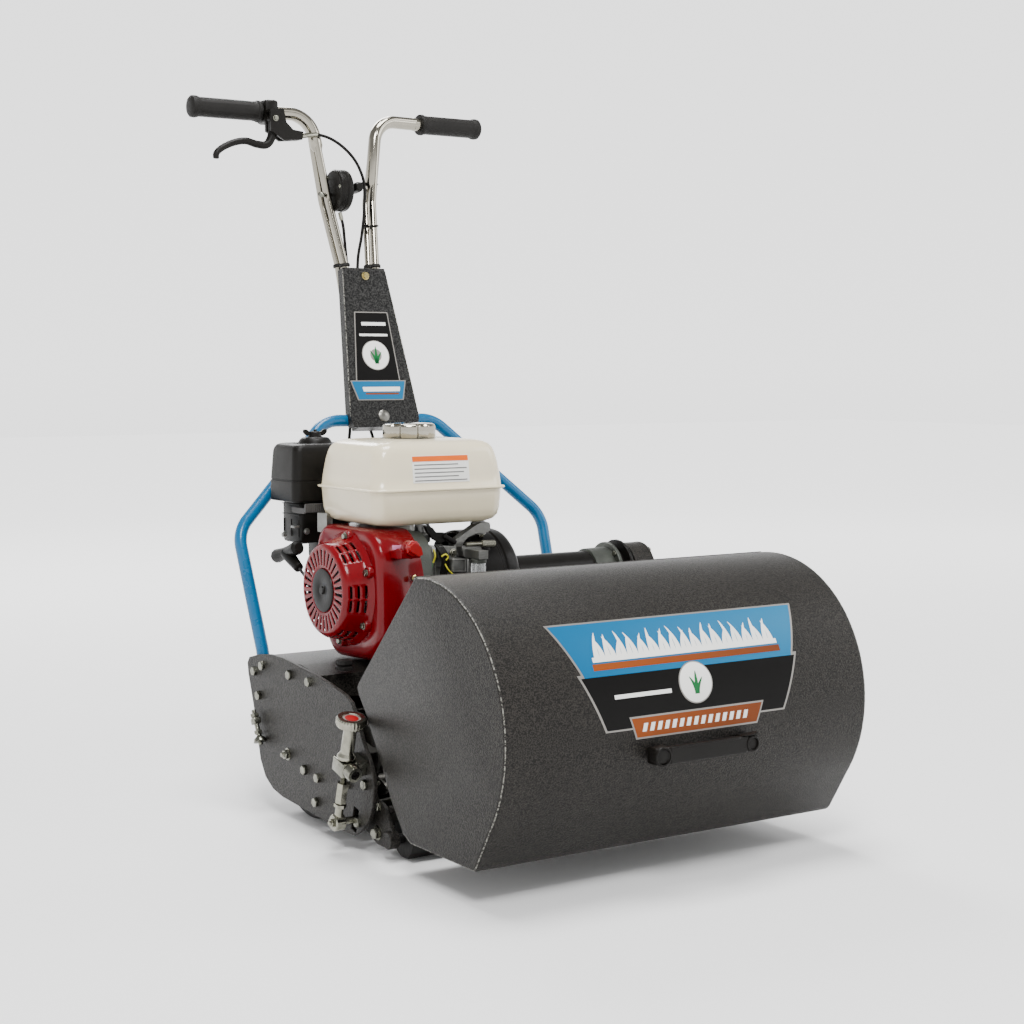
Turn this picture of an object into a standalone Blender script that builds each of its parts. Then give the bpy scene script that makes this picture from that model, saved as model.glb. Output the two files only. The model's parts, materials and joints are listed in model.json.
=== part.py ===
"""Petrol reel mower with a front grass catcher, built as separate named pieces.

Units are metres. +Z is up, the catcher faces -Y, and the operator walks behind at +Y.
"right" and "left" are the operator's, looking forward, so right is -X and left is +X.
Distances along Y below are measured from the front roller's ground contact; the whole
mower hangs on one empty, which moves the middle of its length to the origin.
"""

from math import atan2, cos, pi, radians, sin

import bmesh
import bpy
from mathutils import Matrix, Vector

# Driving dimensions
GAP = 0.0003  # between pieces that touch
SHIFT_Y = -0.1541  # from the front roller's contact to the middle of the mower's length
SIDES = {"right": -1, "left": 1}

PLATE_OUTER = 0.285
PLATE_THICK = 0.006
PLATE_INNER = PLATE_OUTER - PLATE_THICK

REEL = (0.084, 0.088)  # y, z of the reel's axis
REEL_RADIUS = 0.0635
REEL_HALF = 0.255
REEL_BLADES = 6
REEL_TWIST = radians(65)

ROLLER = (0.268, 0.098)
ROLLER_RADIUS = 0.098
ROLLER_HALF = 0.250
ROLLER_WALL = 0.007
FRONT_ROLLER = (0.000, 0.028)
FRONT_ROLLER_RADIUS = 0.028
FRONT_ROLLER_HALF = 0.248
ROLLER_TIE = (0.0120, 0.0660)

CRANK = (0.232, 0.337)
CATCHER_HALF = 0.290
CATCHER_SHEET = 0.0025
CATCHER_CENTRE = (-0.130, 0.209)
CATCHER_RADIUS = 0.184

CASE_X = (0.2856, 0.3180)  # chain case, from its back plate to its rim
CASE_CIRCLES = ((CRANK, 0.0400), (REEL, 0.0600), (ROLLER, 0.0680))
COVER_X = (0.3183, 0.3235)
COVER_BOSS_X = 0.3318  # bosses over the shaft ends, as wide as the height knob on the other side
DRIVE_SPROCKET, REEL_SPROCKET = 0.0202, 0.0485  # 10 and 24 teeth of half-inch chain
REEL_PINION, ROLLER_SPROCKET = 0.0182, 0.0566  # 9 and 28 teeth

ADJUSTER_X = 0.311
ADJUSTER_TOP = Vector((0.0, 0.0247, 0.1946))
ADJUSTER_FOOT = Vector((0.0, 0.0665, 0.0445))
ADJUSTER_LENGTH = (ADJUSTER_FOOT - ADJUSTER_TOP).length
ADJUSTER_DOWN = (ADJUSTER_FOOT - ADJUSTER_TOP).normalized()
ADJUSTER_LEAN = atan2(ADJUSTER_DOWN.y, -ADJUSTER_DOWN.z)
SLOT_HALF = 0.0165

FRAME_TOP = (0.5028, 0.5694)  # y, z of the blue tube's level stretch
HANDLE_LEAN = radians(16.1)
COLUMN_FOOT = Vector((0, 0.4790, 0.5590))
COLUMN_LENGTH = 0.2665
COLUMN_FLANGE = 0.0180
ROD_RADIUS = 0.0062
GRIP_RADIUS = 0.0160
FRAME_TUBE_RADIUS = 0.0096
LEVER_PIVOT = Vector((-0.1375, 0.6005, 1.0500))
THROTTLE = (0.5975, 0.9420)


def clear_scene():
    for obj in list(bpy.data.objects):
        bpy.data.objects.remove(obj)


def collection(name):
    made = bpy.data.collections.new(name)
    bpy.context.scene.collection.children.link(made)
    return made


clear_scene()
MOWER = collection("reel_mower")
CUTTERS = collection("cutters")
ORIGIN = bpy.data.objects.new("mower_origin", None)
ORIGIN.location = (0, SHIFT_Y, 0)
MOWER.objects.link(ORIGIN)


def finish(name, colour, roughness, metallic=0.0):
    made = bpy.data.materials.new(name)
    made.use_nodes = True
    shader = made.node_tree.nodes["Principled BSDF"]
    shader.inputs["Base Color"].default_value = (*colour, 1)
    shader.inputs["Roughness"].default_value = roughness
    shader.inputs["Metallic"].default_value = metallic
    return made


CHARCOAL = finish("charcoal_hammer_paint", (0.055, 0.048, 0.043), 0.42)
CREAM = finish("cream_tank_paint", (0.72, 0.66, 0.53), 0.28)
RED = finish("red_shroud_paint", (0.50, 0.005, 0.02), 0.22)
BLUE = finish("blue_frame_paint", (0.0, 0.17, 0.46), 0.30)
CHROME = finish("chrome_rod", (0.72, 0.70, 0.66), 0.12, 1.0)
ZINC = finish("zinc_plated_steel", (0.58, 0.57, 0.52), 0.32, 1.0)
STEEL = finish("ground_steel", (0.45, 0.45, 0.45), 0.35, 1.0)
ALLOY = finish("cast_aluminium", (0.50, 0.50, 0.49), 0.50, 1.0)
BLACK_PLASTIC = finish("black_plastic", (0.018, 0.017, 0.016), 0.50)
BLACK_PAINT = finish("black_engine_paint", (0.015, 0.015, 0.015), 0.35)
RUBBER = finish("grip_rubber", (0.020, 0.018, 0.017), 0.80)
IRON = finish("roller_iron", (0.10, 0.10, 0.10), 0.55, 0.6)


def place(obj, name, material, group=None):
    obj.name = name
    obj.parent = ORIGIN
    if material:
        obj.data.materials.append(material)
    (group or MOWER).objects.link(obj)
    return obj


def smooth(obj, angle=35):
    obj.data.shade_smooth()
    obj.data.set_sharp_from_angle(angle=radians(angle))
    return obj


def hide(obj):
    """Turns an object into a cutter, which is not a piece of the mower."""
    for owner in list(obj.users_collection):
        owner.objects.unlink(obj)
    CUTTERS.objects.link(obj)
    obj.hide_render = True
    obj.display_type = "WIRE"
    return obj


def box(name, size, centre, material=None, bevel=0.0, lean=0.0):
    """A block of this size, turned by lean about X, with rounded edges where bevel is given."""
    mesh = bpy.data.meshes.new(name)
    bm = bmesh.new()
    bmesh.ops.create_cube(bm, size=1)
    bmesh.ops.scale(bm, vec=size, verts=bm.verts)
    bm.to_mesh(mesh)
    bm.free()
    obj = place(bpy.data.objects.new(name, mesh), name, material)
    obj.location = centre
    obj.rotation_euler = (lean, 0, 0)
    if bevel:
        rounding = obj.modifiers.new("rounded_edges", "BEVEL")
        rounding.width = bevel
        rounding.segments = 2
    return obj


def rod(name, radius, start, end, material=None, sides=24, end_radius=None):
    """A round bar, or a cone where end_radius is given, from start to end."""
    start, end = Vector(start), Vector(end)
    mesh = bpy.data.meshes.new(name)
    bm = bmesh.new()
    bmesh.ops.create_cone(
        bm,
        cap_ends=True,
        segments=sides,
        radius1=radius,
        radius2=radius if end_radius is None else end_radius,
        depth=(end - start).length,
    )
    bm.to_mesh(mesh)
    bm.free()
    obj = place(bpy.data.objects.new(name, mesh), name, material)
    obj.location = (start + end) / 2
    obj.rotation_euler = (end - start).to_track_quat("Z", "Y").to_euler()
    return smooth(obj)


def turned(name, profile, start, direction, material=None, steps=28):
    """A turned shape: profile is (radius, distance along direction from start), outermost end first."""
    mesh = bpy.data.meshes.new(name)
    points = [(radius, 0, along) for radius, along in profile]
    mesh.from_pydata(points, [(i, i + 1) for i in range(len(points) - 1)], [])
    obj = place(bpy.data.objects.new(name, mesh), name, material)
    screw = obj.modifiers.new("turned", "SCREW")
    screw.steps = screw.render_steps = steps
    screw.use_merge_vertices = True
    screw.merge_threshold = 0.00005
    obj.location = start
    obj.rotation_euler = Vector(direction).to_track_quat("Z", "Y").to_euler()
    return obj


def as_mesh(obj):
    """The object with its modifiers or its curve made a mesh, in the same place."""
    bpy.context.view_layer.update()
    evaluated = obj.evaluated_get(bpy.context.evaluated_depsgraph_get())
    mesh = bpy.data.meshes.new_from_object(evaluated)
    bm = bmesh.new()
    bm.from_mesh(mesh)
    bmesh.ops.remove_doubles(bm, verts=bm.verts, dist=0.00001)
    bm.to_mesh(mesh)
    bm.free()
    name, location, rotation = obj.name, obj.location.copy(), obj.rotation_euler.copy()
    bpy.data.objects.remove(obj)
    made = place(bpy.data.objects.new(name, mesh), name, None)
    made.location, made.rotation_euler = location, rotation
    return smooth(made)


def plate(name, outline, x_low, x_high, material=None):
    """A flat plate in the YZ plane, from x_low to x_high, as a mesh."""
    centre = ((x_low + x_high) / 2, 0, 0)
    return flat_piece(name, outline, x_high - x_low, centre, (pi / 2, 0, pi / 2), material)


def flat_piece(name, outline, thick, centre, rotation, material=None):
    """An outline in its own XY plane, extruded by half its thickness each way."""
    curve = bpy.data.curves.new(name, "CURVE")
    curve.dimensions = "2D"
    curve.fill_mode = "BOTH"
    curve.extrude = thick / 2
    spline = curve.splines.new("POLY")
    spline.points.add(len(outline) - 1)
    for point, (across, up) in zip(spline.points, outline):
        point.co = (across, up, 0, 1)
    spline.use_cyclic_u = True
    obj = place(bpy.data.objects.new(name, curve), name, material)
    obj.location = centre
    obj.rotation_euler = rotation
    return as_mesh(obj)


def tube(name, points, radius, material=None, resolution=3):
    """A round tube or wire along the points, with closed ends."""
    curve = bpy.data.curves.new(name, "CURVE")
    curve.dimensions = "3D"
    curve.bevel_depth = radius
    curve.bevel_resolution = resolution
    curve.use_fill_caps = True
    spline = curve.splines.new("POLY")
    spline.points.add(len(points) - 1)
    for point, place_at in zip(spline.points, points):
        point.co = (*place_at, 1)
    return place(bpy.data.objects.new(name, curve), name, material)


def combine(obj, others, operation):
    for other in others:
        step = obj.modifiers.new(operation.lower(), "BOOLEAN")
        step.operation = operation
        step.object = hide(other)
    return obj


def fuse(obj, *others):
    return combine(obj, others, "UNION")


def cut(obj, *others):
    return combine(obj, others, "DIFFERENCE")


def arc(centre, radius, first, last, steps):
    """Points on a circle, from one angle to the other, in degrees."""
    angles = [radians(first + (last - first) * i / steps) for i in range(steps + 1)]
    return [(centre[0] + radius * cos(a), centre[1] + radius * sin(a)) for a in angles]


def bent(points, radius, steps=5):
    """The path through the points with each corner rounded to the radius."""
    points = [Vector(p) for p in points]
    path = [points[0]]
    for before, corner, after in zip(points, points[1:], points[2:]):
        back = (before - corner).normalized()
        ahead = (after - corner).normalized()
        half = back.angle(ahead) / 2
        reach = radius / abs(sin(half)) * cos(half)
        centre = corner + (back + ahead).normalized() * radius / sin(half)
        first, last = corner + back * reach - centre, corner + ahead * reach - centre
        turn = first.angle(last)
        for i in range(steps + 1):
            share = i / steps
            path.append(centre + (first * sin((1 - share) * turn) + last * sin(share * turn)) / sin(turn))
    return path + [points[-1]]


def curved(points, steps=3):
    """A smooth path through the points, by Catmull-Rom interpolation."""
    points = [Vector(p) for p in points]
    ends = [points[0] * 2 - points[1]] + points + [points[-1] * 2 - points[-2]]
    path = []
    for a, b, c, d in zip(ends, ends[1:], ends[2:], ends[3:]):
        for i in range(steps):
            t = i / steps
            square, cube = 2 * a - 5 * b + 4 * c - d, 3 * b - a - 3 * c + d
            path.append((2 * b + (c - a) * t + square * t**2 + cube * t**3) / 2)
    return path + [points[-1]]


def around(circles, steps=24):
    """The outline of a band drawn tight round circles, each given as centre and radius."""
    points = []
    for centre, radius in circles:
        circle = arc(centre, radius, 0, 360 - 360 / steps, steps - 1)
        points += [(round(y, 6), round(z, 6)) for y, z in circle]
    points.sort()

    def chain(ordered):
        kept = []
        for p in ordered:
            while len(kept) > 1:
                (ay, az), (by, bz) = kept[-2], kept[-1]
                if (by - ay) * (p[1] - az) - (bz - az) * (p[0] - ay) > 1e-12:
                    break
                kept.pop()
            kept.append(p)
        return kept[:-1]

    return chain(points) + chain(points[::-1])


def across(radius, spot, x_low, x_high, name="bore", sides=24, material=None):
    """A round bar along X at spot, which is (y, z)."""
    return rod(name, radius, (x_low, *spot), (x_high, *spot), material, sides)


# ---------------------------------------------------------------- frame and covers

PLATE_OUTLINE = (
    [(0.4000, 0.1980), (0.4025, 0.2130), (0.3960, 0.2225), (0.3620, 0.2310), (0.3240, 0.2358)]
    + [(0.2825, 0.2360), (0.2310, 0.2310), (0.1820, 0.2260), (0.1390, 0.2200), (0.0930, 0.2110)]
    + [(0.0750, 0.2030), (0.0600, 0.1810), (0.0440, 0.1560), (0.0260, 0.1330), (0.0160, 0.1160)]
    + [(0.0120, 0.0990), (0.0165, 0.0725), (0.0275, 0.0510), (0.0455, 0.0340), (0.0680, 0.0220)]
    + [(0.1050, 0.0210), (0.1815, 0.0250), (0.2870, 0.0310), (0.3190, 0.0370), (0.3450, 0.0510)]
    + [(0.3610, 0.0740), (0.3710, 0.1090), (0.3810, 0.1455)]
)


def adjuster_spot(along, x=0.0):
    """A point on a height adjuster's screw axis, this far down from the top of its knob."""
    spot = ADJUSTER_TOP + ADJUSTER_DOWN * along
    return Vector((x, spot.y, spot.z))


def side_plates():
    """The two flat sheets that carry everything, with the front roller's slots and the chain's holes."""
    for side in SIDES:
        sign = SIDES[side]
        low, high = sorted((sign * PLATE_INNER, sign * PLATE_OUTER))
        obj = plate(side + "_side_plate", PLATE_OUTLINE, low, high, CHARCOAL)
        middle = adjuster_spot(ADJUSTER_LENGTH, sign * PLATE_OUTER)
        slot = box("slot", (0.03, 0.0135, 2 * SLOT_HALF), middle)
        slot.rotation_euler = (ADJUSTER_LEAN, 0, 0)
        cut(obj, slot)
        if side == "left":
            for spot in (REEL, ROLLER):
                cut(obj, across(0.0105, spot, low - 0.01, high + 0.01))


def engine_deck():
    """The sheet that ties the side plates and carries the engine, folded down at its front."""
    sheet = 0.004
    top = [(0.3620, 0.2285), (0.3240, 0.2318), (0.2350, 0.2318), (0.1800, 0.2238)]
    outline = top + [(0.1800, 0.1900), (0.1800 + sheet, 0.1900), (0.1800 + sheet, 0.2204)]
    outline += [(y, z - sheet) for y, z in reversed(top[:3])]
    half = PLATE_INNER - GAP
    return plate("engine_deck", outline[::-1], -half, half, CHARCOAL)


def sheet_outline(path, thick):
    """A strip of this thickness whose one face follows the path."""
    points = [Vector((*p, 0)) for p in path]
    other = []
    for i, p in enumerate(points):
        ahead = points[min(i + 1, len(points) - 1)] - points[max(i - 1, 0)]
        other.append(p + Vector((-ahead.y, ahead.x, 0)).normalized() * thick)
    return [(p.x, p.y) for p in points] + [(p.x, p.y) for p in reversed(other)]


def throw_plate():
    """The curved sheet behind and above the reel that sends the cut grass forward."""
    path = [(0.1575, 0.0700), (0.1600, 0.0880), (0.1590, 0.1100), (0.1530, 0.1350), (0.1410, 0.1580)]
    path += [(0.1240, 0.1770), (0.1020, 0.1880)]
    half = PLATE_INNER - GAP
    return plate("throw_plate", sheet_outline(path, 0.002), -half, half, CHARCOAL)


def cutting_unit():
    """The fixed bottom blade and the iron bar that carries it."""
    half = PLATE_INNER - GAP
    blade = [(0.1042, 0.0262), (0.1062, 0.0225), (0.1450, 0.0225), (0.1450, 0.0265)]
    plate("bottom_blade", blade, -REEL_HALF, REEL_HALF, STEEL)
    carrier = [(0.1290, 0.0268), (0.1800, 0.0268), (0.1800, 0.0370), (0.1660, 0.0370)]
    carrier += [(0.1660, 0.0690), (0.1590, 0.0690), (0.1590, 0.0370), (0.1290, 0.0350)]
    plate("blade_carrier", carrier, -half, half, IRON)


def cutting_reel():
    """Six helical blades on spider discs and one shaft, which runs out through the left plate."""
    shaft = across(0.0100, REEL, -PLATE_INNER + 0.0065, CASE_X[1] - 0.0010, "cutting_reel", 14, STEEL)
    for i in range(5):
        x = -REEL_HALF + 0.003 + i * (2 * REEL_HALF - 0.006) / 4
        fuse(shaft, across(0.0450, REEL, x - 0.0025, x + 0.0025, "spider", 14))
    steps = 9
    corners = ((0.038, -0.002), (REEL_RADIUS, -0.002), (REEL_RADIUS, 0.002), (0.038, 0.002))
    for blade in range(REEL_BLADES):
        mesh = bpy.data.meshes.new("reel_blade")
        bm = bmesh.new()
        rings = []
        for i in range(steps + 1):
            share = i / steps
            angle = 2 * pi * blade / REEL_BLADES + REEL_TWIST * share
            x = -REEL_HALF + 2 * REEL_HALF * share
            ring = []
            for radius, aside in corners:
                y = radius * cos(angle) - aside * sin(angle)
                z = radius * sin(angle) + aside * cos(angle)
                ring.append(bm.verts.new((x, REEL[0] + y, REEL[1] + z)))
            rings.append(ring)
        for a, b in zip(rings, rings[1:]):
            for i in range(4):
                bm.faces.new((a[i], a[(i + 1) % 4], b[(i + 1) % 4], b[i]))
        bm.faces.new(rings[0][::-1])
        bm.faces.new(rings[-1])
        bmesh.ops.recalc_face_normals(bm, faces=bm.faces)
        bm.to_mesh(mesh)
        bm.free()
        fuse(shaft, place(bpy.data.objects.new("reel_blade", mesh), "reel_blade", None))
    fuse(shaft, across(REEL_SPROCKET - 0.0035, REEL, 0.2985, 0.3015, "reel_wheel", 24))
    fuse(shaft, across(REEL_PINION - 0.0035, REEL, 0.3095, 0.3125, "reel_pinion", 16))
    return shaft


def bearings():
    """Flanged bearing housings on the inner faces of the side plates, for the reel and the rear roller."""
    for side, sign in SIDES.items():
        for what, spot, outer in (("reel", REEL, 0.027), ("roller", ROLLER, 0.030)):
            ends = sorted((sign * (PLATE_INNER - GAP), sign * (PLATE_INNER - 0.016)))
            housing = across(outer, spot, *ends, f"{side}_{what}_bearing", 24, IRON)
            bottom = PLATE_INNER + (0.01 if side == "left" else -0.004)
            cut(housing, across(0.0104, spot, *sorted((sign * bottom, sign * (PLATE_INNER - 0.03)))))


def rear_roller():
    """The driven roller: a drum open at both ends, with a narrow groove and a web at its middle."""
    drum = across(ROLLER_RADIUS, ROLLER, -ROLLER_HALF, ROLLER_HALF, "rear_roller", 36, IRON)
    groove = across(ROLLER_RADIUS + 0.01, ROLLER, -0.0015, 0.0015, "groove", 36)
    cut(groove, across(ROLLER_RADIUS - 0.004, ROLLER, -0.01, 0.01, "groove_core", 36))
    cut(drum, as_mesh(groove))
    for sign in SIDES.values():
        ends = sorted((sign * 0.0060, sign * (ROLLER_HALF + 0.01)))
        cut(drum, across(ROLLER_RADIUS - ROLLER_WALL, ROLLER, *ends, "drum_space", 36))
    fuse(drum, across(0.0100, ROLLER, -PLATE_INNER + 0.0065, CASE_X[1] - 0.0010, "roller_shaft", 16))
    fuse(drum, across(ROLLER_SPROCKET - 0.0035, ROLLER, 0.3095, 0.3125, "roller_sprocket", 28))
    return drum


def front_roller():
    """The idle front roller, turned with shallow grooves, on its own spindle."""
    profile = [(0.0, FRONT_ROLLER_HALF + 0.0240), (0.0070, FRONT_ROLLER_HALF + 0.0240)]
    profile += [(0.0070, FRONT_ROLLER_HALF), (FRONT_ROLLER_RADIUS - 0.002, FRONT_ROLLER_HALF)]
    sections = 4
    length = 2 * FRONT_ROLLER_HALF / sections
    for i in range(sections):
        top = FRONT_ROLLER_HALF - i * length
        profile += [(FRONT_ROLLER_RADIUS, top - 0.002), (FRONT_ROLLER_RADIUS, top - length + 0.004)]
        if i < sections - 1:
            bottom = FRONT_ROLLER_RADIUS - 0.005
            profile += [(bottom, top - length + 0.001), (bottom, top - length - 0.001)]
    profile += [(FRONT_ROLLER_RADIUS - 0.002, -FRONT_ROLLER_HALF), (0.0070, -FRONT_ROLLER_HALF)]
    profile += [(0.0070, -FRONT_ROLLER_HALF - 0.0240), (0.0, -FRONT_ROLLER_HALF - 0.0240)]
    return smooth(as_mesh(turned("front_roller", profile, (0, *FRONT_ROLLER), (1, 0, 0), IRON, 20)))


def roller_brackets():
    """The front roller's two arms, tied by a bar, each with a stud in its side plate's slot."""
    stud = (ADJUSTER_FOOT.y, ADJUSTER_FOOT.z)
    outline = around([(stud, 0.012), (FRONT_ROLLER, 0.014), (ROLLER_TIE, 0.011)], 16)
    for side, sign in SIDES.items():
        arm = plate(f"{side}_roller_bracket", outline, *sorted((sign * 0.2635, sign * 0.2685)), CHARCOAL)
        stud_end = ADJUSTER_X + 0.009 if side == "right" else PLATE_OUTER
        fuse(arm, across(0.0052, stud, *sorted((sign * 0.2660, sign * stud_end)), "stud", 14))
        fuse(arm, across(0.0120, FRONT_ROLLER, *sorted((sign * 0.2585, sign * 0.2735)), "roller_boss", 16))
        cut(arm, across(0.0073, FRONT_ROLLER, *sorted((sign * 0.25, sign * 0.29)), "spindle_bore", 20))
    across(0.0055, ROLLER_TIE, -0.2635 + GAP, 0.2635 - GAP, "roller_bracket_tie", 12, STEEL)


# ---------------------------------------------------------------- height adjuster


def height_adjuster():
    """On the right a knob on a screw, the block it turns in, and the sleeve that moves the stud."""
    x = SIDES["right"] * ADJUSTER_X
    foot = (ADJUSTER_FOOT.y, ADJUSTER_FOOT.z)

    def spot(along):
        return adjuster_spot(along, x)

    profile = [(0.0, 0.1180), (0.0042, 0.1180), (0.0042, 0.0610), (0.0118, 0.0610), (0.0118, 0.0560)]
    profile += [(0.0098, 0.0520), (0.0098, 0.0150), (0.0190, 0.0130), (0.0208, 0.0100), (0.0208, 0.0030)]
    profile += [(0.0185, 0.0005), (0.0, 0.0)]
    as_mesh(turned("height_knob", profile, spot(0), ADJUSTER_DOWN, ZINC, 24))

    size = Vector((0.0240, 0.0300, 0.0200))
    block = box("adjuster_block", size, spot(0.0718), ZINC, 0.0015, ADJUSTER_LEAN)
    reach = ADJUSTER_X - 0.0080 - PLATE_OUTER - GAP
    root = box("block_root", (reach, size.y, size.z), spot(0.0718), lean=ADJUSTER_LEAN)
    root.location.x = -(PLATE_OUTER + GAP + reach / 2)
    fuse(block, root)
    cut(block, rod("screw_bore", 0.0050, spot(0.05), spot(0.1)))

    sleeve = rod("adjuster_sleeve", 0.0075, spot(0.0960), spot(0.1395), ZINC, 6)
    eye = across(0.0110, foot, -0.3190, -0.3010, "eye", 20)
    fuse(sleeve, rod("neck", 0.0060, spot(0.1380), spot(0.1480), sides=16), eye)
    cut(sleeve, rod("sleeve_bore", 0.0048, spot(0.09), spot(0.1330), sides=16))
    cut(sleeve, across(0.0056, foot, -0.33, -0.29, "eye_bore"))


# ---------------------------------------------------------------- chain drive

def chain_case():
    case = plate("chain_case", around(CASE_CIRCLES), *CASE_X, CHARCOAL)
    pocket = around([(spot, radius - 0.0025) for spot, radius in CASE_CIRCLES])
    cut(case, plate("chain_space", pocket, CASE_X[0] + 0.0030, CASE_X[1] + 0.01))
    for spot in (CRANK, REEL, ROLLER):
        cut(case, across(0.0106, spot, CASE_X[0] - 0.01, CASE_X[1], "shaft_hole", 24))
    cover = plate("chain_case_cover", around(CASE_CIRCLES), *COVER_X, CHARCOAL)
    for spot in (REEL, ROLLER):
        fuse(cover, across(0.0140, spot, COVER_X[1] - 0.001, COVER_BOSS_X, "cover_boss", 16))


def chain(name, x, first, second):
    """A loop of roller chain round two sprockets, each given as centre and pitch radius."""
    grown = [(spot, radius + 0.0042) for spot, radius in (first, second)]
    shrunk = [(spot, radius - 0.0025) for spot, radius in (first, second)]
    loop = plate(name, around(grown), x - 0.0030, x + 0.0030, STEEL)
    cut(loop, plate("loop_hole", around(shrunk), x - 0.02, x + 0.02))


def drive_line():
    """The shaft from the clutch to the chain case, its tube, the clutch and the bearing plate."""
    clutch = [(0.0, 0.081), (0.0640, 0.081), (0.0756, 0.070), (0.0756, 0.012), (0.0700, 0.0), (0.0, 0.0)]
    housing = as_mesh(turned("clutch_housing", clutch, (-0.030, *CRANK), (1, 0, 0), BLACK_PAINT, 32))
    smooth(housing)
    cut(housing, across(0.0640, CRANK, -0.024, 0.044, "drum_space", 28))
    cut(housing, across(0.0125, CRANK, 0.030, 0.08, "shaft_hole"))
    cut(housing, across(0.0145, CRANK, -0.06, 0.0, "crank_hole"))

    drum = across(0.0600, CRANK, 0.004, 0.040, "clutch_drum", 24, STEEL)
    cut(drum, across(0.0550, CRANK, -0.01, 0.035, "drum_bore", 24))
    cut(drum, across(0.0100 + GAP, CRANK, 0.0, 0.06, "shaft_seat", 20))

    shaft = across(0.0100, CRANK, 0.0360, CASE_X[1] - 0.0070, "drive_shaft", 20, STEEL)
    fuse(shaft, across(DRIVE_SPROCKET - 0.0035, CRANK, 0.2985, 0.3015, "drive_sprocket", 20))

    pipe = across(0.0310, CRANK, 0.0513, 0.2725, "drive_tube", 28, BLACK_PAINT)
    cut(pipe, across(0.0270, CRANK, 0.0, 0.3, "pipe_bore", 28))

    outline = around([(CRANK, 0.0460), ((0.196, 0.2430), 0.010), ((0.268, 0.2430), 0.010)], 24)
    bearing = plate("tube_bearing_plate", outline, 0.2728, 0.2787, CHARCOAL)
    cut(bearing, across(0.0106, CRANK, 0.2, 0.3))


# ---------------------------------------------------------------- engine


def crankcase():
    body = box("crankcase", (0.0840, 0.1360, 0.1340), (-0.0726, 0.2500, 0.3200), ALLOY, 0.006)
    foot = box("crankcase_foot", (0.0840, 0.1400, 0.0240), (-0.0726, 0.2500, 0.2442))
    post = rod("right_tank_post", 0.0090, (-0.1030, 0.1980, 0.3800), (-0.1030, 0.1980, 0.4265), sides=16)
    arm = rod("tank_arm", 0.0060, (-0.0560, 0.1950, 0.3845), (-0.0130, 0.1950, 0.4205), sides=12)
    far_post = rod("left_tank_post", 0.0085, (-0.0100, 0.1950, 0.4150), (-0.0100, 0.1950, 0.4265), sides=16)
    filter_arm = box("filter_arm", (0.0160, 0.0620, 0.0120), (-0.0390, 0.1590, 0.3850))
    fuse(body, foot, post, arm, far_post, filter_arm)
    cut(body, across(0.0160, CRANK, -0.2, 0.1, "crank_bore"))
    return body


def crankshaft():
    """Crankshaft with the flywheel and its fan at one end and the clutch shoes at the other."""
    shaft = across(0.0125, CRANK, -0.1700, 0.0300, "crankshaft", 20, STEEL)
    fuse(shaft, across(0.0700, CRANK, -0.1560, -0.1400, "flywheel", 28))
    fuse(shaft, across(0.0500, CRANK, 0.0100, 0.0290, "clutch_shoes", 20))
    for i in range(8):
        angle = 2 * pi * i / 8
        y, z = CRANK[0] + 0.050 * cos(angle), CRANK[1] + 0.050 * sin(angle)
        blade = box("fan_blade", (0.022, 0.030, 0.0025), (-0.1660, y, z))
        blade.rotation_euler = (angle, 0, 0)
        fuse(shaft, blade)
    return shaft


SHROUD_OUTLINE = (
    arc((0.1880, 0.3760), 0.0490, 92, 170, 4)
    + arc((0.1900, 0.2960), 0.0580, 190, 262, 4)
    + arc((0.2620, 0.2780), 0.0440, 275, 345, 4)
    + arc((0.2980, 0.3900), 0.0350, 5, 88, 4)
)


def fan_shroud():
    """The red housing over the flywheel, open towards the crankcase."""
    shroud = plate("fan_shroud", SHROUD_OUTLINE[::-1], -0.2050, -0.1180, RED)
    rounding = shroud.modifiers.new("rounded_front", "BEVEL")
    rounding.width = 0.010
    rounding.segments = 2
    rounding.limit_method = "ANGLE"
    rounding.angle_limit = radians(50)
    shroud = as_mesh(shroud)
    shroud.name = "fan_shroud"
    cut(shroud, across(0.0860, CRANK, -0.2020, -0.10, "fan_space", 36))
    cut(shroud, across(0.0560, CRANK, -0.23, -0.19, "air_hole", 32))
    return shroud


def recoil_cover():
    """The slotted starter dome bolted on the shroud."""
    profile = [(0.0, 0.0400), (0.0640, 0.0400), (0.0690, 0.0360), (0.0800, 0.0080), (0.0820, 0.0)]
    profile += [(0.0, 0.0)]
    dome = as_mesh(turned("recoil_cover", profile, (-0.2053, *CRANK), (-1, 0, 0), RED, 36))
    cut(dome, across(0.0610, CRANK, -0.2420, -0.20, "dome_space", 36))
    cut(dome, across(0.0240, CRANK, -0.2600, -0.2300, "hub_opening", 24))
    return dome


TANK = ((-0.2025, 0.0265), (0.1550, 0.3470))
# inset, corner radius and height of each level, bottom first
TANK_LEVELS = (
    [(0.045, 0.014, 0.4270), (0.014, 0.024, 0.4330), (0.007, 0.028, 0.4480), (0.005, 0.028, 0.4785)]
    + [(0.000, 0.030, 0.4790), (0.000, 0.030, 0.4815), (0.005, 0.028, 0.4820), (0.009, 0.030, 0.5150)]
    + [(0.016, 0.032, 0.5340), (0.030, 0.032, 0.5440), (0.052, 0.026, 0.5480)]
)
FILLER = (-0.0915, 0.2500)
AIR_CLEANER = ((-0.2240, -0.1140), (0.3600, 0.4520))
AIR_CLEANER_LEVELS = (
    [(0.001, 0.012, 0.4530), (0.000, 0.013, 0.4700), (0.003, 0.013, 0.5300), (0.007, 0.012, 0.5380)]
    + [(0.015, 0.010, 0.5400)]
)


def rounded_rectangle(x_range, y_range, radius, steps=4):
    (x_low, x_high), (y_low, y_high) = x_range, y_range
    corners = [(x_high - radius, y_high - radius), (x_low + radius, y_high - radius)]
    corners += [(x_low + radius, y_low + radius), (x_high - radius, y_low + radius)]
    points = []
    for i, corner in enumerate(corners):
        points += arc(corner, radius, 90 * i, 90 * (i + 1), steps)
    return points


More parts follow.
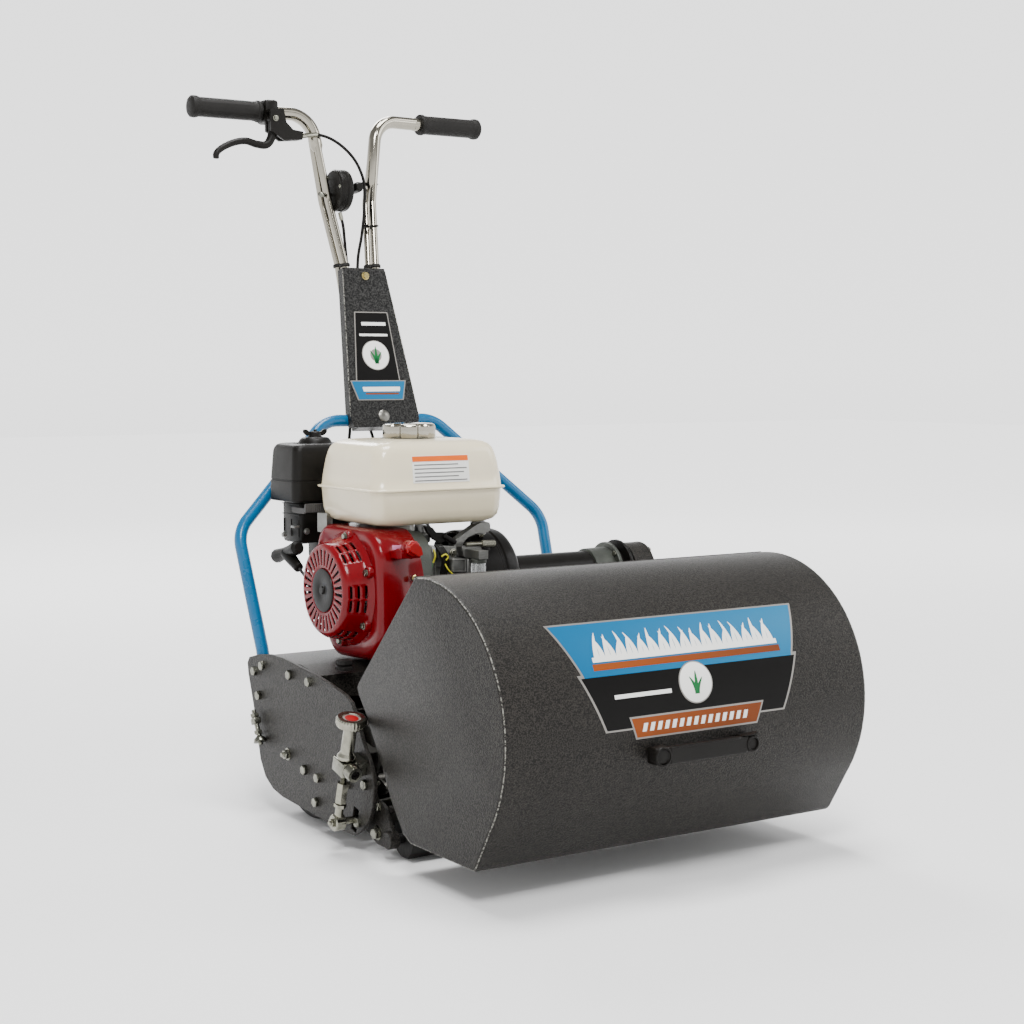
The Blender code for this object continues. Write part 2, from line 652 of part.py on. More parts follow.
def lofted(name, sections, material):
    """A closed body through level outlines, each given as its points and its height, bottom first."""
    mesh = bpy.data.meshes.new(name)
    bm = bmesh.new()
    rings = [[bm.verts.new((x, y, z)) for x, y in outline] for outline, z in sections]
    count = len(rings[0])
    for low, high in zip(rings, rings[1:]):
        for i in range(count):
            j = (i + 1) % count
            bm.faces.new((low[i], low[j], high[j], high[i]))
    bm.faces.new(rings[0][::-1])
    bm.faces.new(rings[-1])
    bm.to_mesh(mesh)
    bm.free()
    return smooth(place(bpy.data.objects.new(name, mesh), name, material), 30)


def level(footprint, inset, radius, z):
    """One level outline of a lofted box: inset from its footprint, with this corner radius."""
    x_range, y_range = ((low + inset, high - inset) for low, high in footprint)
    return rounded_rectangle(x_range, y_range, radius), z


def fuel_tank():
    """Two pressed halves meeting in a flange, with the filler's mouth in the top."""
    sections = [level(TANK, *section) for section in TANK_LEVELS]
    tank = lofted("fuel_tank", sections, CREAM)
    cut(tank, rod("filler_mouth", 0.0290, (*FILLER, 0.52), (*FILLER, 0.56)))
    return tank


def fuel_cap():
    """Pressed cap with a ribbed rim, standing on the filler's neck."""
    cap = rod("fuel_cap", 0.0400, (*FILLER, 0.5484), (*FILLER, 0.5690), ZINC, 32)
    for i in range(6):
        angle = 2 * pi * (i + 0.5) / 6
        x, y = FILLER[0] + 0.0470 * cos(angle), FILLER[1] + 0.0470 * sin(angle)
        cut(cap, rod("thumb_hollow", 0.0120, (x, y, 0.5450), (x, y, 0.5750), sides=16))
    fuse(cap, rod("cap_plug", 0.0270, (*FILLER, 0.5260), (*FILLER, 0.5500), sides=24))
    return cap


def air_cleaner():
    """The square filter housing behind the tank, in a cover and a base with its intake elbow."""
    sections = [level(AIR_CLEANER, *section) for section in AIR_CLEANER_LEVELS]
    cover = lofted("air_cleaner_cover", sections, BLACK_PLASTIC)
    fuse(cover, rod("cover_boss", 0.0130, (-0.1690, 0.4060, 0.5300), (-0.1690, 0.4060, 0.5450), sides=16))
    base = box("air_cleaner_base", (0.0860, 0.0640, 0.0640), (-0.1620, 0.4110, 0.4205), BLACK_PLASTIC, 0.006)
    fuse(base, box("intake_elbow", (0.0500, 0.0480, 0.0300), (-0.1400, 0.4130, 0.3780), bevel=0.004))


def engine_top_end():
    """Cylinder and head leaning back from the crankcase, the carburettor and the exhaust."""
    centre, lean = Vector((-0.0660, 0.3700, 0.3840)), radians(-20)
    head = box("cylinder_head", (0.0660, 0.0800, 0.0900), centre, ALLOY, 0.003, lean)
    for i in range(5):
        offset = Vector((0, cos(lean), sin(lean))) * (0.014 * i - 0.030)
        fuse(head, box("head_fin", (0.0740, 0.0030, 0.0980), centre + offset, lean=lean))
    carburettor = box("carburettor", (0.0380, 0.0400, 0.0440), (-0.1400, 0.3560, 0.3720), ALLOY, 0.003)
    bowl = (-0.1400, 0.3560, 0.3270), (-0.1400, 0.3560, 0.3540)
    fuse(carburettor, rod("float_bowl", 0.0170, *bowl, sides=16))
    box("muffler", (0.0800, 0.0640, 0.0800), (-0.0300, 0.4080, 0.4840), BLACK_PAINT, 0.010)


def controls_on_engine():
    """The fuel filter's bowl on its arm, and the stop switch with its red knob."""
    rod("fuel_filter_bowl", 0.0110, (-0.0400, 0.1400, 0.3520), (-0.0400, 0.1400, 0.3787), ALLOY, 18)
    box("engine_switch_box", (0.0380, 0.0220, 0.0320), (-0.1700, 0.1200, 0.4040), BLACK_PLASTIC, 0.003)
    rod("engine_switch_knob", 0.0120, (-0.1700, 0.1086, 0.4040), (-0.1700, 0.0950, 0.4040), RED, 20)


def starter_grip():
    """The pull grip of the recoil starter, resting in front of the air cleaner."""
    bar = rod("starter_grip", 0.0095, (-0.2250, 0.4300, 0.3660), (-0.2250, 0.3480, 0.3880), BLACK_PLASTIC, 16)
    ends = (-0.2250, 0.3890, 0.3770), (-0.2250, 0.3450, 0.3560)
    neck = rod("grip_neck", 0.0075, *ends, sides=14, end_radius=0.0055)
    return fuse(bar, neck)


def choke_lever():
    """The flat lever that slides fore and aft on the outer face of the air cleaner's base."""
    return box("choke_lever", (0.0035, 0.0440, 0.0100), (-0.2080, 0.3860, 0.4400), ZINC)


# ---------------------------------------------------------------- catcher


def catcher_profile(inset):
    """The sheet's path from its top edge round the front to its lower rear lip."""
    radius = CATCHER_RADIUS - inset
    points = arc(CATCHER_CENTRE, radius, 81, 213.9, 22)
    points += [(-0.2480 + inset * 0.7, 0.0500 + inset * 0.7), (-0.2430 + inset * 0.5, 0.0456 + inset)]
    points += [(-0.0910, 0.0456 + inset), (-0.0690 - inset * 0.6, 0.0550 + inset * 0.8)]
    return points


def catcher_shell():
    """The grass catcher, open at the top and towards the reel, with its carrying rod."""
    outer = catcher_profile(0) + [(-0.0420, 0.0940), (-0.0210, 0.1300), (0.0250, 0.1980)]
    outer += [(0.0440, 0.2200), (0.0480, 0.2290), (0.0440, 0.2350)]
    shell = plate("catcher_shell", outer[::-1], -CATCHER_HALF, CATCHER_HALF, CHARCOAL)
    space = catcher_profile(CATCHER_SHEET)
    space += [(-0.0200, 0.0300), (0.0800, 0.1500), (0.0900, 0.2500), (-0.0400, 0.4200)]
    half = CATCHER_HALF - CATCHER_SHEET
    cut(shell, plate("catcher_space", space[::-1], -half, half))
    hanger = across(0.0050, (-0.0080, 0.1690), -half - 0.001, half + 0.001, "hanger_rod", 12)
    return fuse(shell, hanger)


def catcher_handle():
    """The moulded pull handle across the catcher's front, standing on two feet."""
    front = CATCHER_CENTRE[0] - CATCHER_RADIUS
    bar = box("catcher_handle", (0.1680, 0.0090, 0.0230), (0, front - 0.0185, 0.1780), BLACK_PLASTIC, 0.0035)
    for sign in SIDES.values():
        middle = (sign * 0.0700, front - 0.0110, 0.1780)
        fuse(bar, box("handle_foot", (0.0260, 0.0260, 0.0230), middle, bevel=0.0030))
    return cut(bar, across(CATCHER_RADIUS + GAP, CATCHER_CENTRE, -0.2, 0.2, "catcher_front", 160))


def catcher_hooks():
    """Flat bars from the side plates whose open notches carry the catcher's rod."""
    for side, sign in SIDES.items():
        x_low, x_high = sorted((sign * 0.2690, sign * 0.2745))
        outline = [(0.0900, 0.1880), (0.0700, 0.1880), (0.0300, 0.1660), (0.0020, 0.1740), (-0.0002, 0.1690)]
        outline += [(-0.0030, 0.1620), (-0.0120, 0.1620), (-0.0160, 0.1670), (-0.0210, 0.1640)]
        outline += [(-0.0180, 0.1560), (-0.0080, 0.1520), (0.0350, 0.1480), (0.0900, 0.1600)]
        hook = plate(f"{side}_catcher_hook", outline, x_low, x_high, CHARCOAL)
        pad = sorted((sign * 0.2740, sign * (PLATE_INNER - GAP)))
        fuse(hook, across(0.0090, (0.0790, 0.1740), *pad, "hook_pad", 16))


# ---------------------------------------------------------------- handle


def handle_frame():
    """The blue tube that rises from both side plates and crosses behind the column's foot."""
    half = [(-0.2680, 0.3560, 0.1560), (-0.2685, 0.3853, 0.2360), (-0.2770, 0.4463, 0.4064)]
    half += [(-0.0990, *FRAME_TOP)]
    path = half + [(-x, y, z) for x, y, z in reversed(half)]
    return smooth(as_mesh(tube("handle_frame", bent(path, 0.055), FRAME_TUBE_RADIUS, BLUE)))


def column_prism(name, inset, ends, depth_range, material=None):
    """The column's tapered section; depth_range is measured back from its front face."""
    low, high = -ends[0], COLUMN_LENGTH + ends[1]
    half_foot, half_top, chamfer = 0.0641 - inset, 0.0384 - inset, 0.0140
    outline = [(half_foot - 0.0060, low), (half_foot - 0.0015, low + chamfer), (half_top, high)]
    outline = outline + [(-x, s) for x, s in reversed(outline)]
    thick = depth_range[1] - depth_range[0]
    turn = Matrix.Rotation(-HANDLE_LEAN, 4, "X") @ Matrix.Rotation(pi / 2, 4, "X")
    back = Matrix.Rotation(-HANDLE_LEAN, 4, "X") @ Vector((0, 1, 0))
    centre = COLUMN_FOOT + back * (depth_range[0] + depth_range[1]) / 2
    return flat_piece(name, outline, thick, centre, turn.to_euler(), material)


def column_spot(along, depth):
    """A point on the column's middle plane: this far up its front face, and this far behind it."""
    turn = Matrix.Rotation(-HANDLE_LEAN, 4, "X")
    return COLUMN_FOOT + turn @ Vector((0, depth, along))


def handle_column():
    """An open-backed channel with blocks inside it, which hold the rods and the blue tube."""
    wall = 0.0030
    column = column_prism("handle_column", 0.0, (0.0, 0.0), (0.0, COLUMN_FLANGE), CHARCOAL)
    cut(column, column_prism("column_space", wall, (0.02, -wall), (wall, COLUMN_FLANGE + 0.01)))
    blocks = ((0.2450, 0.0165, 0.0380), (0.1560, 0.0150, 0.0380), (0.0120, 0.0450, 0.0340))
    for along, half, deep in blocks:
        middle = column_spot(along, (deep + 0.0010) / 2)
        block = box("rod_block", (2 * half, deep - 0.0010, 0.0200), middle)
        block.rotation_euler = (-HANDLE_LEAN, 0, 0)
        fuse(column, block)
    cut(column, across(FRAME_TUBE_RADIUS + GAP, FRAME_TOP, -0.2, 0.2, "frame_tube_path"))
    for sign in SIDES.values():
        cut(column, rod("rod_hole", 0.0072, *handle_rod_ends(sign)[:2], sides=16))
    return column


def handle_rod_ends(sign):
    """Where a front handle rod enters the column and stops in it, and how far back its twin lies."""
    return (sign * 0.0285, 0.5645, 0.8200), (sign * 0.0220, 0.5380, 0.7000), Vector((0, 0.0225, 0))


def handlebars():
    """On each side two chromed rods, welded to the short tube that the grip covers."""
    for side, sign in SIDES.items():
        inner = Vector((sign * 0.1360, 0.6252, 1.0632))
        outer = Vector((sign * 0.2600, 0.6299, 1.0638))
        bar = rod(f"{side}_handlebar", 0.0110, inner, outer, CHROME, 20)
        entry, stop, twin = handle_rod_ends(sign)
        for back, start_back, drop in ((twin * 0, -0.0040, 0.0035), (twin, 0.0050, -0.0035)):
            path = [
                inner + Vector((sign * 0.0015, start_back, drop)),
                Vector((sign * 0.0620, 0.6190 + start_back, 1.0632 + drop)),
                Vector((sign * 0.0410, 0.5960, 0.9257)) + back,
                Vector(entry) + back,
                Vector(stop) + back,
            ]
            fuse(bar, as_mesh(tube("handle_rod", bent(path, 0.042), ROD_RADIUS, None, 2)))
        away = (outer - inner).normalized()
        ends = inner + away * 0.0115, outer + away * 0.0085
        grip = rod(f"{side}_grip", GRIP_RADIUS, *ends, RUBBER, 24)
        cut(grip, rod("grip_bore", 0.0113, inner - away * 0.02, outer + away * 0.0004, sides=24))


def lever_bracket():
    """The clamp round the right handlebar and its forked nose, which the lever turns in."""
    bar = (0.6252, 1.0632)
    bracket = box("lever_bracket", (0.0240, 0.0380, 0.0380), (-0.1345, *bar), BLACK_PLASTIC, 0.006)
    outline = [(-0.1465, 1.0640), (-0.1455, 1.0300), (-0.1220, 1.0160), (-0.0900, 1.0190)]
    outline += [(-0.0880, 1.0320), (-0.1060, 1.0340), (-0.1180, 1.0450), (-0.1226, 1.0660)]
    fuse(bracket, flat_piece("nose", outline, 0.0225, (0, 0.60075, 0), (pi / 2, 0, 0)))
    fork = box("fork_slot", (0.1000, 0.0122, 0.0800), (-0.1560, 0.60060, 1.0200))
    return cut(bracket, fork, across(0.0140, bar, -0.20, -0.10, "clamp_bore"))


def clutch_lever():
    """The curved lever with its hooked tip, turning about a boss in the fork."""
    x, y, z = LEVER_PIVOT
    line = [(x, y, z), (-0.1385, y, 1.0250), (-0.1480, y, 1.0090), (-0.1650, y, 1.0080), (-0.1850, y, 1.0120)]
    line += [(-0.2060, y, 1.0080), (-0.2250, y, 0.9990), (-0.2350, y, 0.9900), (-0.2360, y, 0.9810)]
    lever = smooth(as_mesh(tube("clutch_lever", curved(line, 2), 0.0048, BLACK_PLASTIC, 2)))
    return fuse(lever, rod("lever_boss", 0.0080, (x, y - 0.0055, z), (x, y + 0.0055, z), sides=20))


def throttle_control():
    """The round housing clamped inside the right-hand rods, and its thumb lever."""
    housing = across(0.0340, THROTTLE, -0.0322, -0.0090, "throttle_housing", 24, BLACK_PLASTIC)
    fuse(housing, across(0.0028, (0.6083, 0.9360), -0.0520, -0.0300, "clamp_bolt", 12))
    lever = across(0.0120, THROTTLE, -0.0087, -0.0020, "throttle_lever", 16, BLACK_PLASTIC)
    tab = box("throttle_tab", (0.0120, 0.0300, 0.0110), (0.0010, 0.5780, 0.9460), bevel=0.002)
    return fuse(lever, tab)


CLUTCH_CABLE = [
    (-0.0870, 0.6005, 1.0255),
    (-0.0740, 0.6005, 1.0280),
    (-0.0595, 0.6000, 1.0305),
    (-0.0355, 0.6000, 1.0260),
    (-0.0126, 0.5990, 1.0140),
    (0.0071, 0.5975, 0.9960),
    (0.0194, 0.5960, 0.9750),
    (0.0258, 0.5960, 0.9520),
    (0.0270, 0.5990, 0.9100),
    (0.0240, 0.6030, 0.8700),
    (0.0180, 0.6060, 0.8250),
    (0.0080, 0.5860, 0.7400),
    (0.0030, 0.5600, 0.6500),
    (0.0000, 0.5440, 0.6000),
    (0.0000, 0.5300, 0.5480),
    (0.0120, 0.5060, 0.5000),
    (0.0300, 0.4700, 0.4500),
    (0.0380, 0.4250, 0.4100),
    (0.0380, 0.3750, 0.3750),
    (0.0320, 0.3400, 0.3470),
    (0.0300, 0.3085, 0.3400),
]
THROTTLE_CABLE = [
    (-0.0200, 0.5950, 0.9050),
    (-0.0140, 0.5960, 0.8850),
    (-0.0080, 0.6020, 0.8600),
    (-0.0020, 0.6060, 0.8250),
    (-0.0020, 0.5860, 0.7400),
    (-0.0120, 0.5600, 0.6500),
    (-0.0280, 0.5440, 0.6000),
    (-0.0400, 0.5300, 0.5480),
    (-0.0560, 0.5100, 0.5100),
    (-0.0820, 0.4920, 0.4700),
    (-0.1040, 0.4800, 0.4300),
    (-0.1300, 0.4680, 0.4050),
    (-0.1450, 0.4455, 0.3950),
]
CABLE_RADIUS = 0.0025


def cables():
    for name, route in (("clutch_cable", CLUTCH_CABLE), ("throttle_cable", THROTTLE_CABLE)):
        tube(name, curved(route, 2), CABLE_RADIUS, BLACK_PLASTIC, 2)


def build():
    side_plates()
    engine_deck()
    throw_plate()
    cutting_unit()
    bearings()
    cutting_reel()
    rear_roller()
    front_roller()
    roller_brackets()
    height_adjuster()
    chain_case()
    chain("engine_chain", 0.3000, (CRANK, DRIVE_SPROCKET), (REEL, REEL_SPROCKET))
    chain("roller_chain", 0.3110, (REEL, REEL_PINION), (ROLLER, ROLLER_SPROCKET))
    drive_line()
    crankcase()
    crankshaft()
    fan_shroud()
    recoil_cover()
    fuel_tank()
    fuel_cap()
    air_cleaner()
    engine_top_end()
    controls_on_engine()
    starter_grip()
    choke_lever()
    catcher_shell()
    catcher_handle()
    catcher_hooks()
    handle_frame()
    handle_column()
    handlebars()
    lever_bracket()
    clutch_lever()
    throttle_control()
    cables()


build()
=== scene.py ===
"""Petrol reel mower: the finished look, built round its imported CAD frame.

Metres, +Z up. The catcher faces -Y, "right" is the operator's right at -X and "left" is +X.
Distances along Y are measured from the front roller's axis, and each piece is moved by
ORIGIN_Y, the place of that axis in the frame, when it is finished.
"""

import json
from math import atan2, cos, pi, radians, sin

import bmesh
import bpy
from mathutils import Matrix, Vector


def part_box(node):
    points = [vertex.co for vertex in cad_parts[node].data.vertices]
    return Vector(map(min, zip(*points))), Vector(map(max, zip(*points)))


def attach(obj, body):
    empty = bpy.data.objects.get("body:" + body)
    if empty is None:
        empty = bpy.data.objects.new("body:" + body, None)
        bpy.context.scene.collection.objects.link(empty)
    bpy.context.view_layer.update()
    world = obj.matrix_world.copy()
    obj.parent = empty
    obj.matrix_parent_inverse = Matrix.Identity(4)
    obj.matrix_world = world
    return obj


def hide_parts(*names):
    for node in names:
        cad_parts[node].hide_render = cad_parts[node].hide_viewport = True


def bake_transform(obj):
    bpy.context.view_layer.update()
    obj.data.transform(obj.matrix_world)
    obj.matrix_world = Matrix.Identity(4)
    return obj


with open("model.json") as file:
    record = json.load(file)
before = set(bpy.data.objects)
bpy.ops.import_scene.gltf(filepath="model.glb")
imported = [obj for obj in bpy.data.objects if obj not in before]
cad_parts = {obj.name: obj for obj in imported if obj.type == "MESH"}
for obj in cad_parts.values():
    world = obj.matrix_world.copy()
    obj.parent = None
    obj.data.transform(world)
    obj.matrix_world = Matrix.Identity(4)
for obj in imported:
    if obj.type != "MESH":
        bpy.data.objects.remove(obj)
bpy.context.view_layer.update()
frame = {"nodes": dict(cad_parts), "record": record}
NODES = frame["nodes"]
SIDES = {"right": -1, "left": 1}


def middle(node):
    low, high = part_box(node)
    return (low + high) / 2


ORIGIN_Y = middle("front_roller").y


def span(node):
    """A node's lowest and highest corners, with Y measured from the front roller's axis."""
    low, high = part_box(node)
    return low - Vector((0, ORIGIN_Y, 0)), high - Vector((0, ORIGIN_Y, 0))


def centre(node):
    low, high = span(node)
    return (low + high) / 2


# Driving dimensions, read from the frame
PLATE = span("right_side_plate")[0].x  # outer face of the right plate
CRANK = (centre("drive_tube").y, centre("drive_tube").z)
REEL = (centre("right_reel_bearing").y, centre("right_reel_bearing").z)
ROLLER = (centre("right_roller_bearing").y, centre("right_roller_bearing").z)
FRONT_ROLLER = (0.0, centre("front_roller").z)
FRONT_ROLLER_HALF = 0.248
CATCHER_HALF = span("catcher_shell")[1].x
CATCHER_CENTRE = (-0.13, 0.209)
CATCHER_RADIUS = 0.184
TANK_LOW, TANK_HIGH = span("fuel_tank")
TANK_LABEL = (-0.1364, -0.042)  # from side to side
FILLER = centre("fuel_cap")
TOP_OF_SHEET = span("engine_deck")[1].z


# ---------------------------------------------------------------- materials


def set_stops(ramp, stops):
    """Gives a colour ramp its stops, each a place and a colour."""
    elements = ramp.color_ramp.elements
    while len(elements) < len(stops):
        elements.new(0.5)
    for element, (place, colour) in zip(elements, stops):
        element.position = place
        element.color = (*colour, 1)


class Nodes:
    """A material's node tree, with short calls for the nodes that these finishes use."""

    def __init__(self, name, colour, roughness, metallic=0.0, coat=0.0, shine=0.5):
        self.material = bpy.data.materials.new(name)
        self.material.use_nodes = True
        self.tree = self.material.node_tree
        self.shader = self.tree.nodes["Principled BSDF"]
        self.shader.inputs["Base Color"].default_value = (*colour, 1)
        self.shader.inputs["Roughness"].default_value = roughness
        self.shader.inputs["Metallic"].default_value = metallic
        self.shader.inputs["Specular IOR Level"].default_value = shine
        self.shader.inputs["Coat Weight"].default_value = coat
        self.shader.inputs["Coat Roughness"].default_value = 0.08
        self.where = self.tree.nodes.new("ShaderNodeTexCoord").outputs["Object"]

    def add(self, kind, **values):
        node = self.tree.nodes.new("ShaderNode" + kind)
        for name, value in values.items():
            node.inputs[name].default_value = value
        return node

    def join(self, output, target):
        self.tree.links.new(output, target)

    def noise(self, scale, detail=3.0, roughness=0.5, stretch=None):
        node = self.add("TexNoise", Scale=scale, Detail=detail, Roughness=roughness)
        if stretch:
            mapping = self.add("Mapping", Scale=stretch)
            self.join(self.where, mapping.inputs["Vector"])
            self.join(mapping.outputs["Vector"], node.inputs["Vector"])
        else:
            self.join(self.where, node.inputs["Vector"])
        return node.outputs["Fac"]

    def ramp(self, value, stops):
        node = self.add("ValToRGB")
        set_stops(node, stops)
        self.join(value, node.inputs["Fac"])
        return node.outputs["Color"]

    def between(self, value, low, high):
        node = self.add("MapRange")
        node.inputs["To Min"].default_value = low
        node.inputs["To Max"].default_value = high
        self.join(value, node.inputs["Value"])
        return node.outputs["Result"]

    def relief(self, height, distance, strength=1.0):
        node = self.add("Bump", Strength=strength, Distance=distance)
        self.join(height, node.inputs["Height"])
        self.join(node.outputs["Normal"], self.shader.inputs["Normal"])


def shade(colour, share):
    return tuple(min(1.0, c * share) for c in colour)


def surface(name, colour, roughness, metallic=0.0, coat=0.0, spread=0.1, cloud=14.0,
            grain=(700, 0.00004), shine=0.5):
    """A painted, plated or moulded finish: clouded colour and gloss, with a fine grain in relief."""
    made = Nodes(name, colour, roughness, metallic, coat, shine)
    cloudy = made.noise(cloud, 5.0, 0.6)
    stops = [(0.3, shade(colour, 1 - spread)), (0.7, shade(colour, 1 + spread))]
    made.join(made.ramp(cloudy, stops), made.shader.inputs["Base Color"])
    gloss = made.between(made.noise(cloud * 4, 4.0), roughness * 0.82, min(1.0, roughness * 1.18))
    made.join(gloss, made.shader.inputs["Roughness"])
    made.relief(made.noise(grain[0], 2.0), grain[1])
    return made.material


def hammertone(name, low, high, scale, roughness=0.36):
    """Hammer paint: pale rounded pebbles in a darker ground, raised a little."""
    made = Nodes(name, low, roughness, shine=0.15)
    pebbles = made.noise(scale, 2.0, 0.55)
    cloudy = made.noise(7.0, 4.0)
    ground = made.ramp(pebbles, [(0.43, low), (0.6, high)])
    tint = made.ramp(cloudy, [(0.3, (0.82, 0.82, 0.82)), (0.7, (1.0, 1.0, 1.0))])
    mix = made.tree.nodes.new("ShaderNodeMix")
    mix.data_type = "RGBA"
    mix.blend_type = "MULTIPLY"
    mix.inputs["Factor"].default_value = 1.0
    made.join(ground, mix.inputs["A"])
    made.join(tint, mix.inputs["B"])
    made.join(mix.outputs["Result"], made.shader.inputs["Base Color"])
    made.join(made.between(pebbles, roughness + 0.16, roughness - 0.08), made.shader.inputs["Roughness"])
    made.relief(pebbles, 0.001, 0.8)
    return made.material


def print_finish(name, first, last, reach, axis="X", roughness=0.3):
    """Printed film whose colour runs from first to last along an axis over the reach, with slight wear."""
    made = Nodes(name, first, roughness, shine=0.1)
    parts = made.add("SeparateXYZ")
    made.join(made.where, parts.inputs["Vector"])
    share = made.add("MapRange")
    share.inputs["From Min"].default_value = reach[0]
    share.inputs["From Max"].default_value = reach[1]
    made.join(parts.outputs[axis], share.inputs["Value"])
    made.join(made.ramp(share.outputs["Result"], [(0, first), (1, last)]), made.shader.inputs["Base Color"])
    made.join(
        made.between(made.noise(60), roughness - 0.06, roughness + 0.1), made.shader.inputs["Roughness"],
    )
    made.relief(made.noise(320, 2.0), 0.00012)
    return made.material


CHARCOAL = hammertone("charcoal_hammer_paint", (0.004, 0.0036, 0.0031), (0.0275, 0.0246, 0.0212), 560)
COLUMN_PAINT = hammertone("black_hammer_paint", (0.0022, 0.0022, 0.0021), (0.03, 0.0296, 0.0285), 400, 0.32)
# Pale speckled paint for the lines along bent edges: partly wear, partly a painted highlight where the bend
# catches the light.
EDGE_WEAR_AND_PAINTED_HIGHLIGHT = hammertone("edge_wear_with_painted_highlight", (0.012, 0.0112, 0.01), (0.24, 0.235, 0.21), 330, 0.34)
CREAM = surface("cream_enamel", (0.64, 0.565, 0.4), 0.24, coat=0.4, spread=0.03, grain=(60, 0.0002))
RED = surface(
    "red_enamel", (0.125, 0.0003, 0.003), 0.24, coat=0.22, spread=0.12, grain=(80, 0.0002), shine=0.12,
)
BLUE = surface(
    "blue_enamel", (0.0, 0.085, 0.2), 0.28, coat=0.2, spread=0.06, grain=(120, 0.0001), shine=0.25,
)
CHROME = surface(
    "chrome_plate", (0.29, 0.272, 0.228), 0.12, 1.0, spread=0.1, cloud=30, grain=(300, 0.00002),
)
ZINC = surface("zinc_plate", (0.19, 0.19, 0.158), 0.24, 1.0, spread=0.35, cloud=90, grain=(900, 0.00008))
BRIGHT = surface("bright_zinc_plate", (0.255, 0.25, 0.205), 0.2, 1.0, spread=0.22, cloud=90)
BRASS = surface("yellow_zinc_plate", (0.4, 0.33, 0.14), 0.28, 1.0, spread=0.2, cloud=90)
STEEL = surface("ground_steel", (0.17, 0.165, 0.15), 0.34, 1.0, spread=0.2, cloud=30, grain=(500, 0.0001))
ALLOY = surface("cast_alloy", (0.19, 0.19, 0.18), 0.4, 0.9, spread=0.2, cloud=60, grain=(420, 0.0004))
DARK_ALLOY = surface(
    "dull_cast_alloy", (0.045, 0.049, 0.042), 0.44, 0.6, spread=0.2, cloud=40, grain=(420, 0.0004),
)
BLACK_PLASTIC = surface(
    "black_moulding", (0.0048, 0.0042, 0.0035), 0.4, spread=0.25, grain=(900, 0.00018), shine=0.13,
)
BLACK_PAINT = surface(
    "black_engine_paint", (0.0045, 0.004, 0.0035), 0.34, coat=0.02, spread=0.3, grain=(260, 0.0002),
    shine=0.12,
)
GRIP_RUBBER = surface(
    "grip_rubber", (0.006, 0.0054, 0.0047), 0.58, spread=0.25, grain=(1200, 0.0003), shine=0.18,
)
IRON = surface(
    "dark_roller_paint", (0.009, 0.0085, 0.0078), 0.46, spread=0.35, cloud=20, grain=(200, 0.0004),
    shine=0.2,
)
RUST_IRON = surface(
    "bare_cast_iron", (0.05, 0.044, 0.038), 0.6, 0.6, spread=0.4, cloud=26, grain=(300, 0.0006),
)
SWITCH_RED = surface("red_moulding", (0.23, 0.0015, 0.003), 0.3, coat=0.2, spread=0.08, shine=0.25)
WHITE_FILM = surface("white_print", (0.7, 0.7, 0.67), 0.36, spread=0.03, shine=0.2)
BLACK_FILM = surface(
    "black_print", (0.0036, 0.0034, 0.0032), 0.36, spread=0.1, grain=(320, 0.00003), shine=0.08,
)
SILVER_FILM = surface("silver_print", (0.21, 0.2, 0.185), 0.36, 0.4, spread=0.1, shine=0.2)
ORANGE_FILM = surface("orange_print", (0.58, 0.095, 0.002), 0.36, spread=0.05, shine=0.2)
GREY_FILM = surface("grey_print", (0.1, 0.1, 0.1), 0.4, spread=0.05)
GREEN_FILM = surface("green_print", (0.003, 0.1, 0.025), 0.36, spread=0.08, shine=0.2)
PINK_FILM = surface("pink_print", (0.46, 0.16, 0.28), 0.36, spread=0.05)
CHOKE_GREY = surface(
    "grey_moulding", (0.042, 0.039, 0.037), 0.5, spread=0.12, grain=(900, 0.0002), shine=0.35,
)
BLUE_FILM = print_finish("blue_print", (0.0, 0.088, 0.205), (0.012, 0.125, 0.25), (-0.2, 0.22))
BROWN_FILM = print_finish("brown_print", (0.2, 0.046, 0.008), (0.1, 0.026, 0.008), (-0.12, 0.2))
YELLOW_WIRE = surface("yellow_wire", (0.55, 0.5, 0.03), 0.4, spread=0.08)
GREEN_WIRE = surface("green_wire", (0.02, 0.18, 0.05), 0.4, spread=0.08)
ROPE = surface(
    "starter_rope", (0.015, 0.015, 0.015), 0.8, spread=0.4, cloud=600, grain=(900, 0.0006), shine=0.2,
)


def clear_moulding():
    made = Nodes("clear_moulding", (0.86, 0.88, 0.88), 0.08)
    made.shader.inputs["Transmission Weight"].default_value = 0.75
    made.shader.inputs["IOR"].default_value = 1.45
    made.join(made.between(made.noise(50), 0.05, 0.16), made.shader.inputs["Roughness"])
    made.relief(made.noise(160), 0.0001)
    return made.material


CLEAR = clear_moulding()


# ---------------------------------------------------------------- shapes


def on_circle(centre_at, radius, angle):
    """The point on a circle at this angle in radians."""
    return centre_at[0] + radius * cos(angle), centre_at[1] + radius * sin(angle)


def arc(centre_at, radius, first, last, steps):
    """Points on a circle, from one angle to the other, in degrees."""
    angles = [radians(first + (last - first) * i / steps) for i in range(steps + 1)]
    return [on_circle(centre_at, radius, a) for a in angles]


def oblong(left, low, right, high):
    return [(left, low), (right, low), (right, high), (left, high)]


def rounded(points, radius, steps=4):
    """A flat outline with each corner cut to a curve; radius may be one number or one for each corner."""
    count = len(points)
    radii = radius if isinstance(radius, (list, tuple)) else [radius] * count
    path = []
    for i in range(count):
        corner = Vector(points[i])
        before, after = Vector(points[i - 1]), Vector(points[(i + 1) % count])
        reach = min(radii[i], (before - corner).length * 0.49, (after - corner).length * 0.49)
        start = corner + (before - corner).normalized() * reach
        end = corner + (after - corner).normalized() * reach
        for j in range(steps + 1):
            t = j / steps
            path.append(tuple(start * (1 - t) ** 2 + corner * 2 * t * (1 - t) + end * t**2))
    return path


